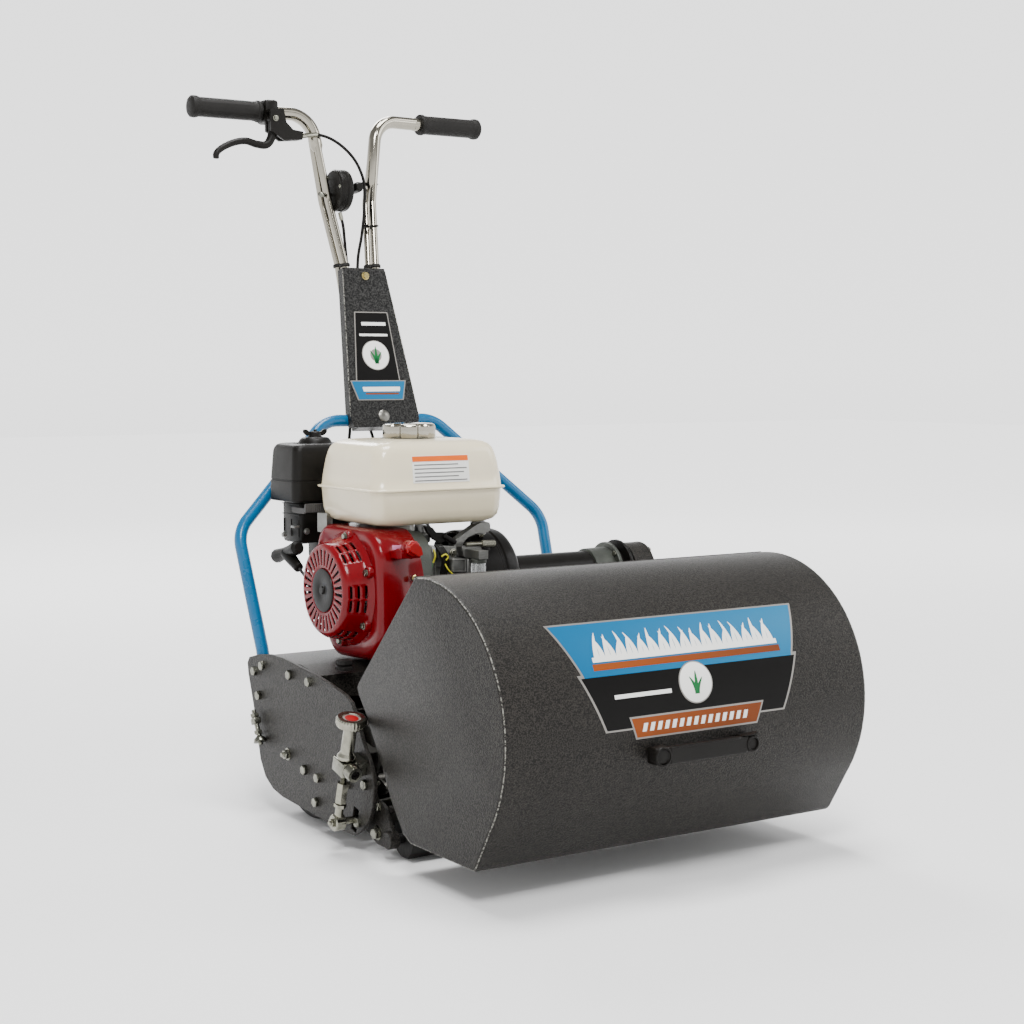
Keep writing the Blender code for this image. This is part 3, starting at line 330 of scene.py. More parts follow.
def bent(points, radius, steps=10):
    """The path through the points with each corner rounded to the radius."""
    points = [Vector(p) for p in points]
    path = [points[0]]
    for before, corner, after in zip(points, points[1:], points[2:]):
        back = (before - corner).normalized()
        ahead = (after - corner).normalized()
        half = back.angle(ahead) / 2
        reach = radius / abs(sin(half)) * cos(half)
        middle_at = corner + (back + ahead).normalized() * radius / sin(half)
        first, last = corner + back * reach - middle_at, corner + ahead * reach - middle_at
        turn = first.angle(last)
        for i in range(steps + 1):
            share = i / steps
            step = (first * sin((1 - share) * turn) + last * sin(share * turn)) / sin(turn)
            path.append(middle_at + step)
    return path + [points[-1]]


def curved(points, steps=6):
    """A smooth path through the points, by Catmull-Rom interpolation."""
    points = [Vector(p) for p in points]
    ends = [points[0] * 2 - points[1]] + points + [points[-1] * 2 - points[-2]]
    path = []
    for a, b, c, d in zip(ends, ends[1:], ends[2:], ends[3:]):
        for i in range(steps):
            t = i / steps
            square, cube = 2 * a - 5 * b + 4 * c - d, 3 * b - a - 3 * c + d
            path.append((2 * b + (c - a) * t + square * t**2 + cube * t**3) / 2)
    return path + [points[-1]]


def around(circles, steps=48):
    """The outline of a band drawn tight round circles, each given as centre and radius."""
    points = []
    for spot, radius in circles:
        circle = arc(spot, radius, 0, 360 - 360 / steps, steps - 1)
        points += [(round(y, 6), round(z, 6)) for y, z in circle]
    points.sort()

    def chain(ordered):
        kept = []
        for p in ordered:
            while len(kept) > 1:
                (ay, az), (by, bz) = kept[-2], kept[-1]
                if (by - ay) * (p[1] - az) - (bz - az) * (p[0] - ay) > 1e-12:
                    break
                kept.pop()
            kept.append(p)
        return kept[:-1]

    return chain(points) + chain(points[::-1])


PLANES = {
    "X": Matrix(((0, 0, 1), (1, 0, 0), (0, 1, 0))),  # outline in Y and Z, pushed along X
    "Y": Matrix(((1, 0, 0), (0, 0, 1), (0, 1, 0))),  # outline in X and Z, pushed along Y
    "Z": Matrix.Identity(3),
}


def into_scene(name, data):
    obj = bpy.data.objects.new(name, data)
    bpy.context.scene.collection.objects.link(obj)
    return obj


class Piece:
    """Gathers shapes in one mesh, then makes a named piece of them that rides on a body."""

    def __init__(self):
        self.bm = bmesh.new()

    def skin(self, rings, closed=True, caps=True):
        """Quads between rings of points; a ring of one point is a pole."""
        made = [[self.bm.verts.new(p) for p in ring] for ring in rings]
        for low, high in zip(made, made[1:]):
            count = max(len(low), len(high))
            for i in range(count if closed else count - 1):
                j = (i + 1) % count
                corners = [low[i % len(low)], low[j % len(low)], high[j % len(high)], high[i % len(high)]]
                unique = list(dict.fromkeys(corners))
                if len(unique) > 2:
                    self.bm.faces.new(unique)
        if caps:
            for ring in (made[0], made[-1]):
                if len(ring) > 2:
                    self.bm.faces.new(ring)
        return made

    def turned(self, profile, start, direction, steps=32, shape=None, turn=0.0):
        """A turned solid: profile is (radius, distance along direction); shape may vary the radius."""
        start = Vector(start)
        basis = Vector(direction).to_track_quat("Z", "Y").to_matrix()
        rings = []
        for radius, along in profile:
            if radius == 0:
                rings.append([start + basis @ Vector((0, 0, along))])
                continue
            ring = []
            for i in range(steps):
                angle = 2 * pi * i / steps + turn
                size = radius * shape(angle, along) if shape else radius
                ring.append(start + basis @ Vector((size * cos(angle), size * sin(angle), along)))
            rings.append(ring)
        self.skin(rings)
        return self

    def rod(self, radius, start, end, steps=24, edge=0.0):
        length = (Vector(end) - Vector(start)).length
        profile = [(radius, 0), (radius, length)]
        if edge:
            profile = [(radius - edge, 0), (radius, edge), (radius, length - edge), (radius - edge, length)]
        return self.turned(profile, start, Vector(end) - Vector(start), steps)

    def hexagon(self, flat, height, start, direction, turn=0.0):
        """A hexagon head or nut of this size across its flats, chamfered at its outer end."""
        radius = flat / 3**0.5
        profile = [(radius, 0), (radius, height * 0.8), (radius * 0.86, height), (radius * 0.5, height)]
        return self.turned(profile, start, direction, 6, turn=turn)

    def bolt(self, spot, direction, flat=0.013, height=0.0055, washer=True, stud=0.0, turn=0.3):
        """A hexagon head on its washer; stud is how far a threaded end stands out of it."""
        spot, direction = Vector(spot), Vector(direction).normalized()
        if washer:
            disc = [(flat * 0.7, -0.0004), (flat * 0.7, 0.001), (flat * 0.55, 0.0014)]
            self.turned(disc, spot, direction, 24)
            spot = spot + direction * 0.001
        self.hexagon(flat, height, spot, direction, turn)
        if stud:
            ring = flat * 0.3
            rings = [(ring, 0)]
            for i in range(int(stud / 0.001)):
                rings += [(ring, height + 0.001 * i), (ring * 0.88, height + 0.001 * i + 0.0005)]
            self.turned(rings + [(ring * 0.8, height + stud)], spot, direction, 16)
        return self

    def pipe(self, points, radius, sides=16, flat=1.0):
        """A round section swept along the points; radius may be one number or one for each point."""
        points = [Vector(p) for p in points]
        radii = radius if isinstance(radius, (list, tuple)) else [radius] * len(points)
        heading = (points[1] - points[0]).normalized()
        side = heading.orthogonal().normalized()
        rings = []
        for i, point in enumerate(points):
            ahead = (points[min(i + 1, len(points) - 1)] - points[max(i - 1, 0)]).normalized()
            side = heading.rotation_difference(ahead) @ side
            side = (side - ahead * side.dot(ahead)).normalized()
            up = ahead.cross(side)
            heading = ahead
            ring = []
            for j in range(sides):
                angle = 2 * pi * j / sides
                ring.append(point + (side * cos(angle) + up * sin(angle) * flat) * radii[i])
            rings.append(ring)
        self.skin(rings)
        return self

    def prism(self, outline, low, high, axis="X"):
        """A flat outline pushed from low to high along an axis."""
        plane = PLANES[axis]
        self.skin([[plane @ Vector((u, v, w)) for u, v in outline] for w in (low, high)])
        return self

    def block(self, size, at, turn=(0, 0, 0), edge=0.0):
        """A box with rounded edges, turned by the angles."""
        matrix = Matrix.Translation(at)
        for angle, axis in zip(turn, "XYZ"):
            matrix = matrix @ Matrix.Rotation(angle, 4, axis)
        made = bmesh.ops.create_cube(self.bm, size=1, matrix=matrix @ Matrix.Diagonal((*size, 1)))
        if edge:
            edges = list({e for v in made["verts"] for e in v.link_edges})
            bmesh.ops.bevel(self.bm, geom=edges, offset=edge, segments=3, affect="EDGES", profile=0.5)
        return self

    def done(self, name, material, body="mower_frame", replaces=(), edge=0.0, angle=35, facing=None):
        """Makes the piece; facing is the way that an open sheet's face furthest along it must look."""
        bmesh.ops.recalc_face_normals(self.bm, faces=self.bm.faces)
        if facing:
            way = Vector(facing)
            outermost = max(self.bm.faces, key=lambda f: f.calc_center_median().dot(way))
            if outermost.normal.dot(way) < 0:
                bmesh.ops.reverse_faces(self.bm, faces=self.bm.faces)
        bmesh.ops.translate(self.bm, vec=(0, ORIGIN_Y, 0), verts=self.bm.verts)
        mesh = bpy.data.meshes.new(name)
        self.bm.to_mesh(mesh)
        self.bm.free()
        obj = into_scene(name, mesh)
        mesh.materials.append(material)
        mesh.shade_smooth()
        mesh.set_sharp_from_angle(angle=radians(angle))
        if edge:
            rounding = obj.modifiers.new("rounded_edges", "BEVEL")
            rounding.width = edge
            rounding.segments = 2
            rounding.angle_limit = radians(angle)
            rounding.harden_normals = True
        if body:
            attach(obj, body)
        if replaces:
            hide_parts(*replaces)
        return obj


def body_of(node):
    bodies = frame["record"]["behaviour"]["bodies"]
    return next(name for name, members in bodies.items() if node in members)


def edged(node, material, edge=0.0008, angle=30):
    """A piece with a CAD node's own shape, its edges broken so that they catch the light."""
    piece = Piece()
    piece.bm.from_mesh(NODES[node].data)
    bmesh.ops.remove_doubles(piece.bm, verts=piece.bm.verts, dist=0.00001)
    bmesh.ops.dissolve_limit(
        piece.bm, angle_limit=radians(1), verts=piece.bm.verts, edges=piece.bm.edges
    )
    bmesh.ops.translate(piece.bm, vec=(0, -ORIGIN_Y, 0), verts=piece.bm.verts)
    return piece.done(node + "_finished", material, body_of(node), (node,), edge, angle)


def thicken(skin, thickness, even=False):
    """Gives an open skin its sheet's thickness, on the inner side."""
    sheet = skin.modifiers.new("sheet", "SOLIDIFY")
    sheet.thickness = thickness
    sheet.offset = -1
    sheet.use_even_offset = even


def paint(material, *names):
    """Gives CAD nodes that keep their shape their finish."""
    for name in names:
        NODES[name].data.materials.clear()
        NODES[name].data.materials.append(material)


# ---------------------------------------------------------------- sheet metal and rollers

SHAFT_ENDS = (-0.2724, 0.3168)  # of the reel's and the driven roller's shafts
ENGINE_CHAIN_X, ROLLER_CHAIN_X = 0.3, 0.311
BLADE_TWIST = radians(65)  # from one end of the reel to the other
PLATE_BOLTS = [(0.3741, 0.2045), (0.3471, 0.2165), (0.2578, 0.2152), (0.1975, 0.2139), (0.3602, 0.17)]
PLATE_BOLTS += [(0.2125, 0.0855), (0.1718, 0.0818), (0.1783, 0.0459), (0.0347, 0.0986), (0.0556, 0.043)]


def clear_of_case(spot):
    return spot[0] > 0.33 or spot[0] < 0.05 or spot[1] > 0.24


def plates():
    """The side sheets with their bolts; on the left most of these are behind the chain case."""
    bolts, studs = Piece(), Piece()
    for side, sign in SIDES.items():
        edged(f"{side}_side_plate", CHARCOAL, 0.0012)
        for i, spot in enumerate(PLATE_BOLTS):
            if side == "left" and not clear_of_case(spot):
                continue
            bolts.bolt((-sign * PLATE, *spot), (sign, 0, 0), 0.0125, 0.0058, washer=False, turn=0.35 * i)
            studs.bolt(
                (-sign * (PLATE + 0.006), *spot), (-sign, 0, 0), 0.012, 0.0048, stud=0.009, turn=0.5 * i,
            )
    bolts.bolt((PLATE, *ROLLER), (-1, 0, 0), 0.013, 0.006, stud=0.004)
    bolts.bolt((PLATE, *REEL), (-1, 0, 0), 0.01, 0.005, washer=False)
    bolts.done("plate_bolts", ZINC)
    studs.done("plate_bolt_nuts", ZINC)
    edged("engine_deck", CHARCOAL)
    edged("throw_plate", CHARCOAL, 0.0005)
    edged("bottom_blade", STEEL, 0.0004)
    edged("blade_carrier", IRON, 0.001)
    for side in SIDES:
        edged(f"{side}_reel_bearing", RUST_IRON, 0.002)
        edged(f"{side}_roller_bearing", RUST_IRON, 0.002)


def deck_bolts():
    """The bolts that hold the bottom blade, the engine's feet and the rubber stop on the deck."""
    bolts = Piece()
    for i in range(7):
        x = -0.24 + 0.08 * i
        bolts.bolt((x, 0.136, 0.0226), (0, 0, -1), 0.011, 0.004, washer=False)
    for x in (-0.104, -0.041):
        for y in (0.185, 0.313):
            bolts.bolt((x, y, 0.2565), (0, 0, 1), 0.013, 0.006)
    for y in (0.196, 0.268):
        bolts.bolt((0.2728, y, 0.244), (-1, 0, 0), 0.012, 0.005)
    bolts.done("deck_bolts", ZINC)
    profile = [(0.013, 0), (0.013, 0.004), (0.01, 0.0052), (0.0124, 0.008), (0.0118, 0.013), (0.004, 0.0138)]
    stop = Piece().turned(
        profile, (-0.243, 0.172, TOP_OF_SHEET - 0.0005), (0, 0, 1), 40,
        lambda a, h: 1 - (0.1 if cos(4 * a) > 0.3 else 0),
    )
    stop.done("rubber_stop", GRIP_RUBBER)


def tensioner():
    """The eye bolt and nuts on the right plate that tighten the chain."""
    bolt = Piece()
    x = PLATE - 0.0085
    top, foot = Vector((x, 0.364, 0.148)), Vector((x, 0.34, 0.1))
    down = (foot - top).normalized()
    bolt.rod(0.0035, top, foot, 16, 0.0006)
    for along, flat in ((0.006, 0.0115), (0.013, 0.0115), (0.032, 0.011)):
        bolt.hexagon(flat, 0.0052, top + down * along, down)
    bolt.turned([(0.004, 0), (0.0085, 0.004), (0.01, 0.009), (0.006, 0.01)], top + down * 0.04, down, 24)
    bolt.block((0.0115, 0.013, 0.009), (x, 0.356, 0.133), (radians(-26), 0, 0), 0.0012)
    bolt.done("chain_tensioner", ZINC)


def reel():
    """Six helical blades on notched spider plates, on the shaft with its two sprockets."""
    piece = Piece()
    half, outer = 0.255, 0.0634
    piece.rod(0.01, (SHAFT_ENDS[0], *REEL), (SHAFT_ENDS[1], *REEL), 28, 0.001)
    for i in range(5):
        x = -half + 0.003 + i * (2 * half - 0.006) / 4
        phase = BLADE_TWIST * (x + half) / (2 * half)

        def star(angle, along, phase=phase):
            return 0.74 + 0.26 * cos(6 * (angle - phase)) if along else 1.0

        profile = [(0.0125, -0.008), (0.0125, -0.0025), (0.05, -0.002), (0.05, 0.002)]
        profile += [(0.0125, 0.0025), (0.0125, 0.008)]
        piece.turned(profile, (x, *REEL), (1, 0, 0), 72, star)
    steps = 44
    for blade in range(6):
        rings = []
        for i in range(steps + 1):
            share = i / steps
            angle = 2 * pi * blade / 6 + BLADE_TWIST * share
            ring = []
            for radius, aside in ((0.04, -0.0016), (outer, -0.001), (outer, 0.0012), (0.04, 0.0016)):
                y = REEL[0] + radius * cos(angle) - aside * sin(angle)
                z = REEL[1] + radius * sin(angle) + aside * cos(angle)
                ring.append((-half + 2 * half * share, y, z))
            rings.append(ring)
        piece.skin(rings)
    wheel(piece, REEL, ENGINE_CHAIN_X, 24, 0.045)
    wheel(piece, REEL, ROLLER_CHAIN_X, 9, 0.0147)
    piece.done("reel_with_blades", STEEL, "cutting_reel", ("cutting_reel",), edge=0.0003)


def wheel(piece, spot, x, teeth, root, thick=0.003):
    """A sprocket whose tooth tips stand 1.6 mm above its root circle."""

    def toothed(angle, along):
        return 1 + 0.0016 / root * (0.5 + 0.5 * cos(teeth * angle))

    piece.turned([(root, -thick / 2), (root, thick / 2)], (x, *spot), (1, 0, 0), teeth * 8, toothed)


def rollers():
    """The driven roller's two drums, open at the ends with set-in discs, and the turned front roller."""
    outer, half = 0.0978, 0.2498
    piece = Piece()
    for sign in SIDES.values():
        profile = [(0.01, 0.008), (0.093, 0.008), (0.093, 0.0025), (outer - 0.0025, 0.0018)]
        profile += [(outer, 0.0045), (outer, half - 0.003), (outer - 0.002, half), (outer - 0.0065, half)]
        profile += [(outer - 0.007, half - 0.016), (0.076, half - 0.019), (0.03, half - 0.019)]
        profile += [(0.024, half - 0.006), (0.01, half - 0.006)]
        piece.turned(profile, (0, *ROLLER), (sign, 0, 0), 96)
    piece.rod(0.01, (SHAFT_ENDS[0], *ROLLER), (SHAFT_ENDS[1], *ROLLER), 28, 0.001)
    wheel(piece, ROLLER, ROLLER_CHAIN_X, 28, 0.053)
    piece.done("rear_roller_drums", IRON, "rear_roller", ("rear_roller",), edge=0.0006)

    half, radius = FRONT_ROLLER_HALF, 0.028
    profile = [(0.007, -half - 0.0238), (0.007, -half), (radius - 0.002, -half)]
    sections = 4
    length = 2 * half / sections
    for i in range(sections):
        low, high = -half + i * length, -half + (i + 1) * length
        profile += [(radius, low + 0.004), (radius, high - 0.004)]
        if i < sections - 1:
            profile += [(radius - 0.0048, high - 0.0012), (radius - 0.0048, high + 0.0012)]
    profile += [(radius - 0.002, half), (0.007, half), (0.007, half + 0.0238)]
    piece = Piece().turned(profile, (0, *FRONT_ROLLER), (1, 0, 0), 64)
    piece.done("front_roller_turned", IRON, "front_roller", ("front_roller",))


def roller_carriage():
    """The front roller's brackets with their bolts, their tie, and the studs that the adjuster moves."""
    outline = [(0.0573, 0.0688), (0.0309, 0.0755), (0.015, 0.072), (-0.011, 0.036), (-0.0125, 0.024)]
    outline += [(-0.002, 0.015), (0.0358, 0.015), (0.079, 0.034), (0.076, 0.05)]
    arms, bolts = Piece(), Piece()
    for sign in SIDES.values():
        low, high = sorted((sign * 0.2635, sign * 0.2685))
        arms.prism(rounded(outline, 0.008), low, high)
        arms.rod(0.012, (sign * 0.2585, *FRONT_ROLLER), (sign * 0.2735, *FRONT_ROLLER), 32, 0.001)
        arms.rod(0.0052, (sign * 0.266, 0.0665, 0.0445), (sign * 0.285, 0.0665, 0.0445), 24)
        bolts.bolt((sign * 0.2685, 0.029, 0.0675), (sign, 0, 0), 0.0095, 0.0045)
        bolts.bolt((sign * 0.2685, 0.033, 0.031), (sign, 0, 0), 0.0145, 0.0065)
    arms.rod(0.0055, (-0.2635, 0.012, 0.066), (0.2635, 0.012, 0.066), 24)
    nodes = ("right_roller_bracket", "left_roller_bracket", "roller_bracket_tie")
    arms.done("roller_brackets", CHARCOAL, "roller_carriage", nodes, 0.0006)
    bolts.done("roller_bracket_bolts", ZINC, "roller_carriage")


def adjuster():
    """The height adjuster: knurled knob and screw, the block they turn in, and the sleeve with its eye."""
    top, foot = Vector((-0.311, 0.0247, 0.1946)), Vector((-0.311, 0.0665, 0.0445))
    down = (foot - top).normalized()

    def spot(along):
        return top + down * along

    def knurl(angle, along):
        return 1 + (0.018 * cos(30 * angle) if 0.003 < along < 0.0105 else 0)

    knob = Piece()
    profile = [(0.012, 0.0022), (0.0125, 0.0004), (0.0185, 0.0004), (0.0204, 0.0032), (0.0204, 0.01)]
    profile += [(0.0188, 0.013), (0.011, 0.015), (0.0092, 0.018), (0.0092, 0.049), (0.01, 0.052)]
    profile += [(0.0126, 0.055), (0.0134, 0.0575), (0.0128, 0.06), (0.0042, 0.0612), (0.0042, 0.07)]
    for i in range(34):
        profile += [(0.0042, 0.07 + 0.0012 * i), (0.0036, 0.0706 + 0.0012 * i)]
    profile += [(0.0036, 0.1115)]
    knob.turned(profile, top, down, 120, knurl)
    knob.done("height_knob_turned", BRIGHT, "height_knob", ("height_knob",))
    dish = Piece().turned([(0.0092, 0.003), (0.0092, 0.0014), (0.006, 0.001), (0, 0.0012)], top, down, 40)
    dish.done("height_knob_dish", SWITCH_RED, "height_knob")
    face = Piece().turned(
        [(0.0122, 0.0028), (0.0122, 0.002), (0.0093, 0.0018), (0.0093, 0.0028)], top, down, 40,
    )
    face.done("height_knob_face", SILVER_FILM, "height_knob")

    edged("adjuster_block", ZINC, 0.002)
    boss, socket = Piece(), Piece()
    ahead = Vector((0, -down.z, down.y)) * -1
    start = spot(0.0718) + ahead * 0.014
    boss.turned(
        [(0.0112, 0), (0.0112, 0.012), (0.01, 0.015), (0.0062, 0.0152), (0.0058, 0.011)], start, ahead, 40,
    )
    boss.done("adjuster_block_boss", ZINC)
    socket.turned([(0.0059, 0.0105), (0.0059, 0.0135), (0.004, 0.0135), (0.004, 0.011)], start, ahead, 6)
    socket.turned([(0.003, 0.01), (0.0059, 0.0112)], start, ahead, 24)
    socket.done("adjuster_clamp_screw", BLACK_PAINT)
    Piece().bolt((PLATE, 0.07, 0.125), (-1, 0, 0), 0.01, 0.004).done("adjuster_bolts", ZINC)

    profile = [(0.005, 0.096), (0.0078, 0.0966), (0.0082, 0.0985), (0.0082, 0.124), (0.0076, 0.1262)]
    sleeve = Piece().turned(profile + [(0.005, 0.1265)], top, down, 6)
    sleeve.turned(
        [(0.005, 0.1272), (0.0086, 0.1276), (0.0086, 0.1325), (0.005, 0.133)], top, down, 6, turn=0.4,
    )
    sleeve.turned([(0.0056, 0.124), (0.0056, 0.142), (0.0064, 0.148)], top, down, 24)
    ring = [(0.0052, -0.0078), (0.01, -0.0078), (0.0116, -0.0062), (0.0116, 0.0062), (0.01, 0.0078)]
    ring += [(0.0052, 0.0078)]
    sleeve.turned(ring, foot, (1, 0, 0), 40)
    sleeve.rod(0.0052, (-0.266, foot.y, foot.z), (-0.3195, foot.y, foot.z), 24, 0.0006)
    sleeve.bolt((-0.318, foot.y, foot.z), (-1, 0, 0), 0.011, 0.004, stud=0.002)
    sleeve.done("adjuster_rod_end", BRIGHT, "roller_carriage", ("adjuster_sleeve",))


# ---------------------------------------------------------------- chain side

CASE_CIRCLES = [(CRANK, 0.04), (REEL, 0.06), (ROLLER, 0.068)]


def shrunk(outline, distance):
    """A closed outline, run anticlockwise, with each point moved inwards by the distance."""
    path = []
    for i, (u, v) in enumerate(outline):
        before, after = outline[i - 1], outline[(i + 1) % len(outline)]
        ahead = Vector((after[0] - before[0], after[1] - before[1])).normalized()
        path.append((u - ahead.y * distance, v + ahead.x * distance))
    return path


def chain_side():
    """The chain case with its raised cover and the cover's bolts, and the chains inside it."""
    edged("chain_case", CHARCOAL, 0.0006)
    low, high = span("chain_case_cover")[0].x, 0.3235
    cover = Piece()
    sections = [(0.0, low), (0.0, high - 0.0022), (0.0006, high - 0.0008), (0.002, high - 0.0001)]
    sections += [(0.009, high), (0.011, high + 0.0012), (0.013, high + 0.0026), (0.016, high + 0.0032)]
    outline = around(CASE_CIRCLES, 96)
    rings = [[(x, *p) for p in shrunk(outline, inset)] for inset, x in sections]
    cover.skin(rings)
    for spot in (REEL, ROLLER):
        profile = [(0.02, 0), (0.0185, 0.004), (0.014, 0.0052), (0.0134, 0.0082), (0.006, 0.0083)]
        cover.turned(profile, (high, *spot), (1, 0, 0), 48)
    profile = [(0.024, 0), (0.0225, 0.0046), (0.018, 0.0058), (0.01, 0.0059)]
    cover.turned(profile, (high, *CRANK), (1, 0, 0), 48)
    cover.done("chain_cover_pressed", CHARCOAL, replaces=("chain_case_cover",))

    bolts = Piece()
    for angle, (spot, radius) in [(60, CASE_CIRCLES[0]), (125, CASE_CIRCLES[0]), (185, CASE_CIRCLES[1]),
                                  (240, CASE_CIRCLES[1]), (285, CASE_CIRCLES[2]), (350, CASE_CIRCLES[2])]:
        y, z = on_circle(spot, radius - 0.0062, radians(angle))
        bolts.bolt((high - 0.0002, y, z), (1, 0, 0), 0.008, 0.0032, turn=angle)
    bolts.bolt((high + 0.0056, *CRANK), (1, 0, 0), 0.011, 0.002, washer=False)
    bolts.done("chain_cover_bolts", ZINC)
    chain("engine_chain", ENGINE_CHAIN_X, (CRANK, 0.0202), (REEL, 0.0485))
    chain("roller_chain", ROLLER_CHAIN_X, (REEL, 0.0182), (ROLLER, 0.0566))


def chain(node, x, first, second):
    """A roller chain's links on their loop, which replaces the CAD's plain band."""
    (a, ra), (b, rb) = first, second
    loop = around([(a, ra), (b, rb)], 60)
    spots = [Vector(p) for p in loop]
    lengths = [(spots[(i + 1) % len(spots)] - p).length for i, p in enumerate(spots)]
    total, pitch = sum(lengths), 0.0127
    count = 2 * round(total / pitch / 2)
    pins, walked, i = [], 0.0, 0
    for n in range(count):
        goal = total * n / count
        while walked + lengths[i] < goal:
            walked += lengths[i]
            i += 1
        pins.append(spots[i].lerp(spots[(i + 1) % len(spots)], (goal - walked) / lengths[i]))
    links = Piece()
    for n, pin in enumerate(pins):
        ahead = pins[(n + 1) % count]
        links.rod(0.0031, (x - 0.0022, *pin), (x + 0.0022, *pin), 12)
        aside = 0.0016 if n % 2 else 0.0025
        turn = atan2(*(ahead - pin).yx)
        for sign in SIDES.values():
            at = (x + sign * aside, *((pin + ahead) / 2))
            links.block((0.0008, (ahead - pin).length + 0.0076, 0.0066), at, (turn, 0, 0), 0.0003)
    links.done(node + "_links", STEEL, body_of(node), (node,))


def drive_line():
    """Clutch drum housing, the tube to the chain case, its bearing and the parts that turn in them."""
    housing = Piece()
    profile = [(0.0145, 0.0006), (0.066, 0.0006), (0.0718, 0.0018), (0.0752, 0.006), (0.0756, 0.012)]
    profile += [(0.0756, 0.048), (0.0735, 0.05), (0.0735, 0.054), (0.0756, 0.056), (0.0756, 0.068)]
    profile += [(0.0735, 0.074), (0.0685, 0.0785), (0.062, 0.0806), (0.035, 0.081), (0.0125, 0.0808)]
    start = (span("clutch_housing")[0].x, *CRANK)
    housing.turned(profile, start, (1, 0, 0), 96)
    for i in range(4):
        angle = radians(45 + 90 * i)
        y, z = on_circle(CRANK, 0.07, angle)
        housing.block((0.03, 0.014, 0.014), (start[0] + 0.018, y, z), (angle, 0, 0), 0.003)
    housing.done("clutch_housing_cast", BLACK_PAINT, replaces=("clutch_housing",))
    tube = Piece()
    low, high = span("drive_tube")[0].x, span("drive_tube")[1].x
    profile = [(0.0272, 0), (0.031, 0.0003), (0.031, high - low - 0.0003), (0.0272, high - low)]
    tube.turned(profile, (low, *CRANK), (1, 0, 0), 72)
    tube.done("drive_tube_smooth", BLACK_PAINT, replaces=("drive_tube",))
    profile = [(0.0312, 0.163), (0.0345, 0.164), (0.035, 0.176), (0.035, 0.201), (0.042, 0.202)]
    profile += [(0.043, 0.2032), (0.043, 0.207), (0.042, 0.2082), (0.0312, 0.2084)]
    collar = Piece().turned(profile, (low, *CRANK), (1, 0, 0), 72)
    collar.turned(
        [(0.0312, 0.004), (0.036, 0.005), (0.036, 0.012), (0.0312, 0.013)], (low, *CRANK), (1, 0, 0), 72,
    )
    collar.done("tube_collar", DARK_ALLOY)
    bolts = Piece()
    for i in range(4):
        angle = radians(45 + 90 * i)
        y, z = on_circle(CRANK, 0.0385, angle)
        bolts.bolt((low + 0.2018, y, z), (-1, 0, 0), 0.008, 0.0035, washer=False)
    bolts.done("tube_collar_bolts", ZINC)
    edged("tube_bearing_plate", BLACK_PAINT, 0.002)
    paint(STEEL, "clutch_drum", "drive_shaft", "crankshaft")


# ---------------------------------------------------------------- catcher


def catcher_path():
    """The catcher sheet's outer face, from its top edge round the front to its lower rear lip."""
    points = arc(CATCHER_CENTRE, CATCHER_RADIUS, 81, 213.9, 96)
    return points + [(-0.248, 0.05), (-0.243, 0.0456), (-0.091, 0.0456), (-0.069, 0.055)]


def catcher_shell():
    """One sheet bent round the front, with rounded corners into its two ends and a rolled top edge."""
    path = catcher_path()
    rear = [(-0.042, 0.094), (-0.021, 0.13), (0.025, 0.198), (0.044, 0.22), (0.048, 0.229)]
    rear += [(0.044, 0.235)]
    half, curve = CATCHER_HALF, 0.0045
    inner = []
    for i, (y, z) in enumerate(path):
        before, after = path[max(i - 1, 0)], path[min(i + 1, len(path) - 1)]
        ahead = Vector((after[0] - before[0], after[1] - before[1])).normalized()
        inner.append(Vector((-ahead.y, ahead.x)))
    stations = []
    for i in range(7):
        angle = radians(90 * i / 6)
        rest = radians(90) - angle
        stations.append((half - curve + curve * sin(rest), curve * (1 - cos(rest))))
    across = [(-x, inset) for x, inset in stations] + [(x, inset) for x, inset in reversed(stations)]
    piece = Piece()
    rows = []
    for x, inset in across:
        rows.append([(x, p[0] + n.x * inset, p[1] + n.y * inset) for p, n in zip(path, inner)])
    made = piece.skin(rows, closed=False, caps=False)
    for ring, x in ((made[0], -half), (made[-1], half)):
        extra = [piece.bm.verts.new((x, y, z)) for y, z in rear]
        piece.bm.faces.new(ring + extra)
    shell = piece.done(
        "catcher_sheet", CHARCOAL, "catcher", ("catcher_shell",), angle=40, facing=(0, -1, 0),
    )
    thicken(shell, 0.0024, even=True)
    # Pale lines along the sheet's rounded ends: wear specks and a painted highlight that the bends would
    # catch.
    wear_and_highlight = Piece()
    for sign in SIDES.values():
        sunk = 0.0017
        seam = [(sign * (half - sunk), p[0] + n.x * sunk, p[1] + n.y * sunk) for p, n in zip(path, inner)]
        wear_and_highlight.pipe(seam, 0.001, 8)
    wear_and_highlight.done("catcher_edge_wear_and_painted_highlight", EDGE_WEAR_AND_PAINTED_HIGHLIGHT, "catcher")
    trim = Piece()
    (y, z), (lip_y, lip_z) = path[0], path[-1]
    trim.rod(0.0032, (-half + 0.003, y, z - 0.002), (half - 0.003, y, z - 0.002), 16, 0.001)
    trim.rod(0.0028, (-half + 0.003, lip_y, lip_z), (half - 0.003, lip_y, lip_z), 16, 0.001)
    trim.rod(0.005, (-half + 0.0012, -0.008, 0.169), (half - 0.0012, -0.008, 0.169), 24)
    trim.done("catcher_hems_and_rod", CHARCOAL, "catcher")


def on_catcher(x, angle, height=0.0):
    """A point on the catcher's round front: angle in degrees about its middle, height above the sheet."""
    return Vector((x, *on_circle(CATCHER_CENTRE, CATCHER_RADIUS + height, radians(angle))))


def along_edge(stops, angle):
    """The half width at this angle, on straight lines between the stops."""
    for (a, low), (b, high) in zip(stops, stops[1:]):
        if a <= angle <= b and b > a:
            return low + (high - low) * (angle - a) / (b - a)
    return stops[0][1] if angle < stops[0][0] else stops[-1][1]


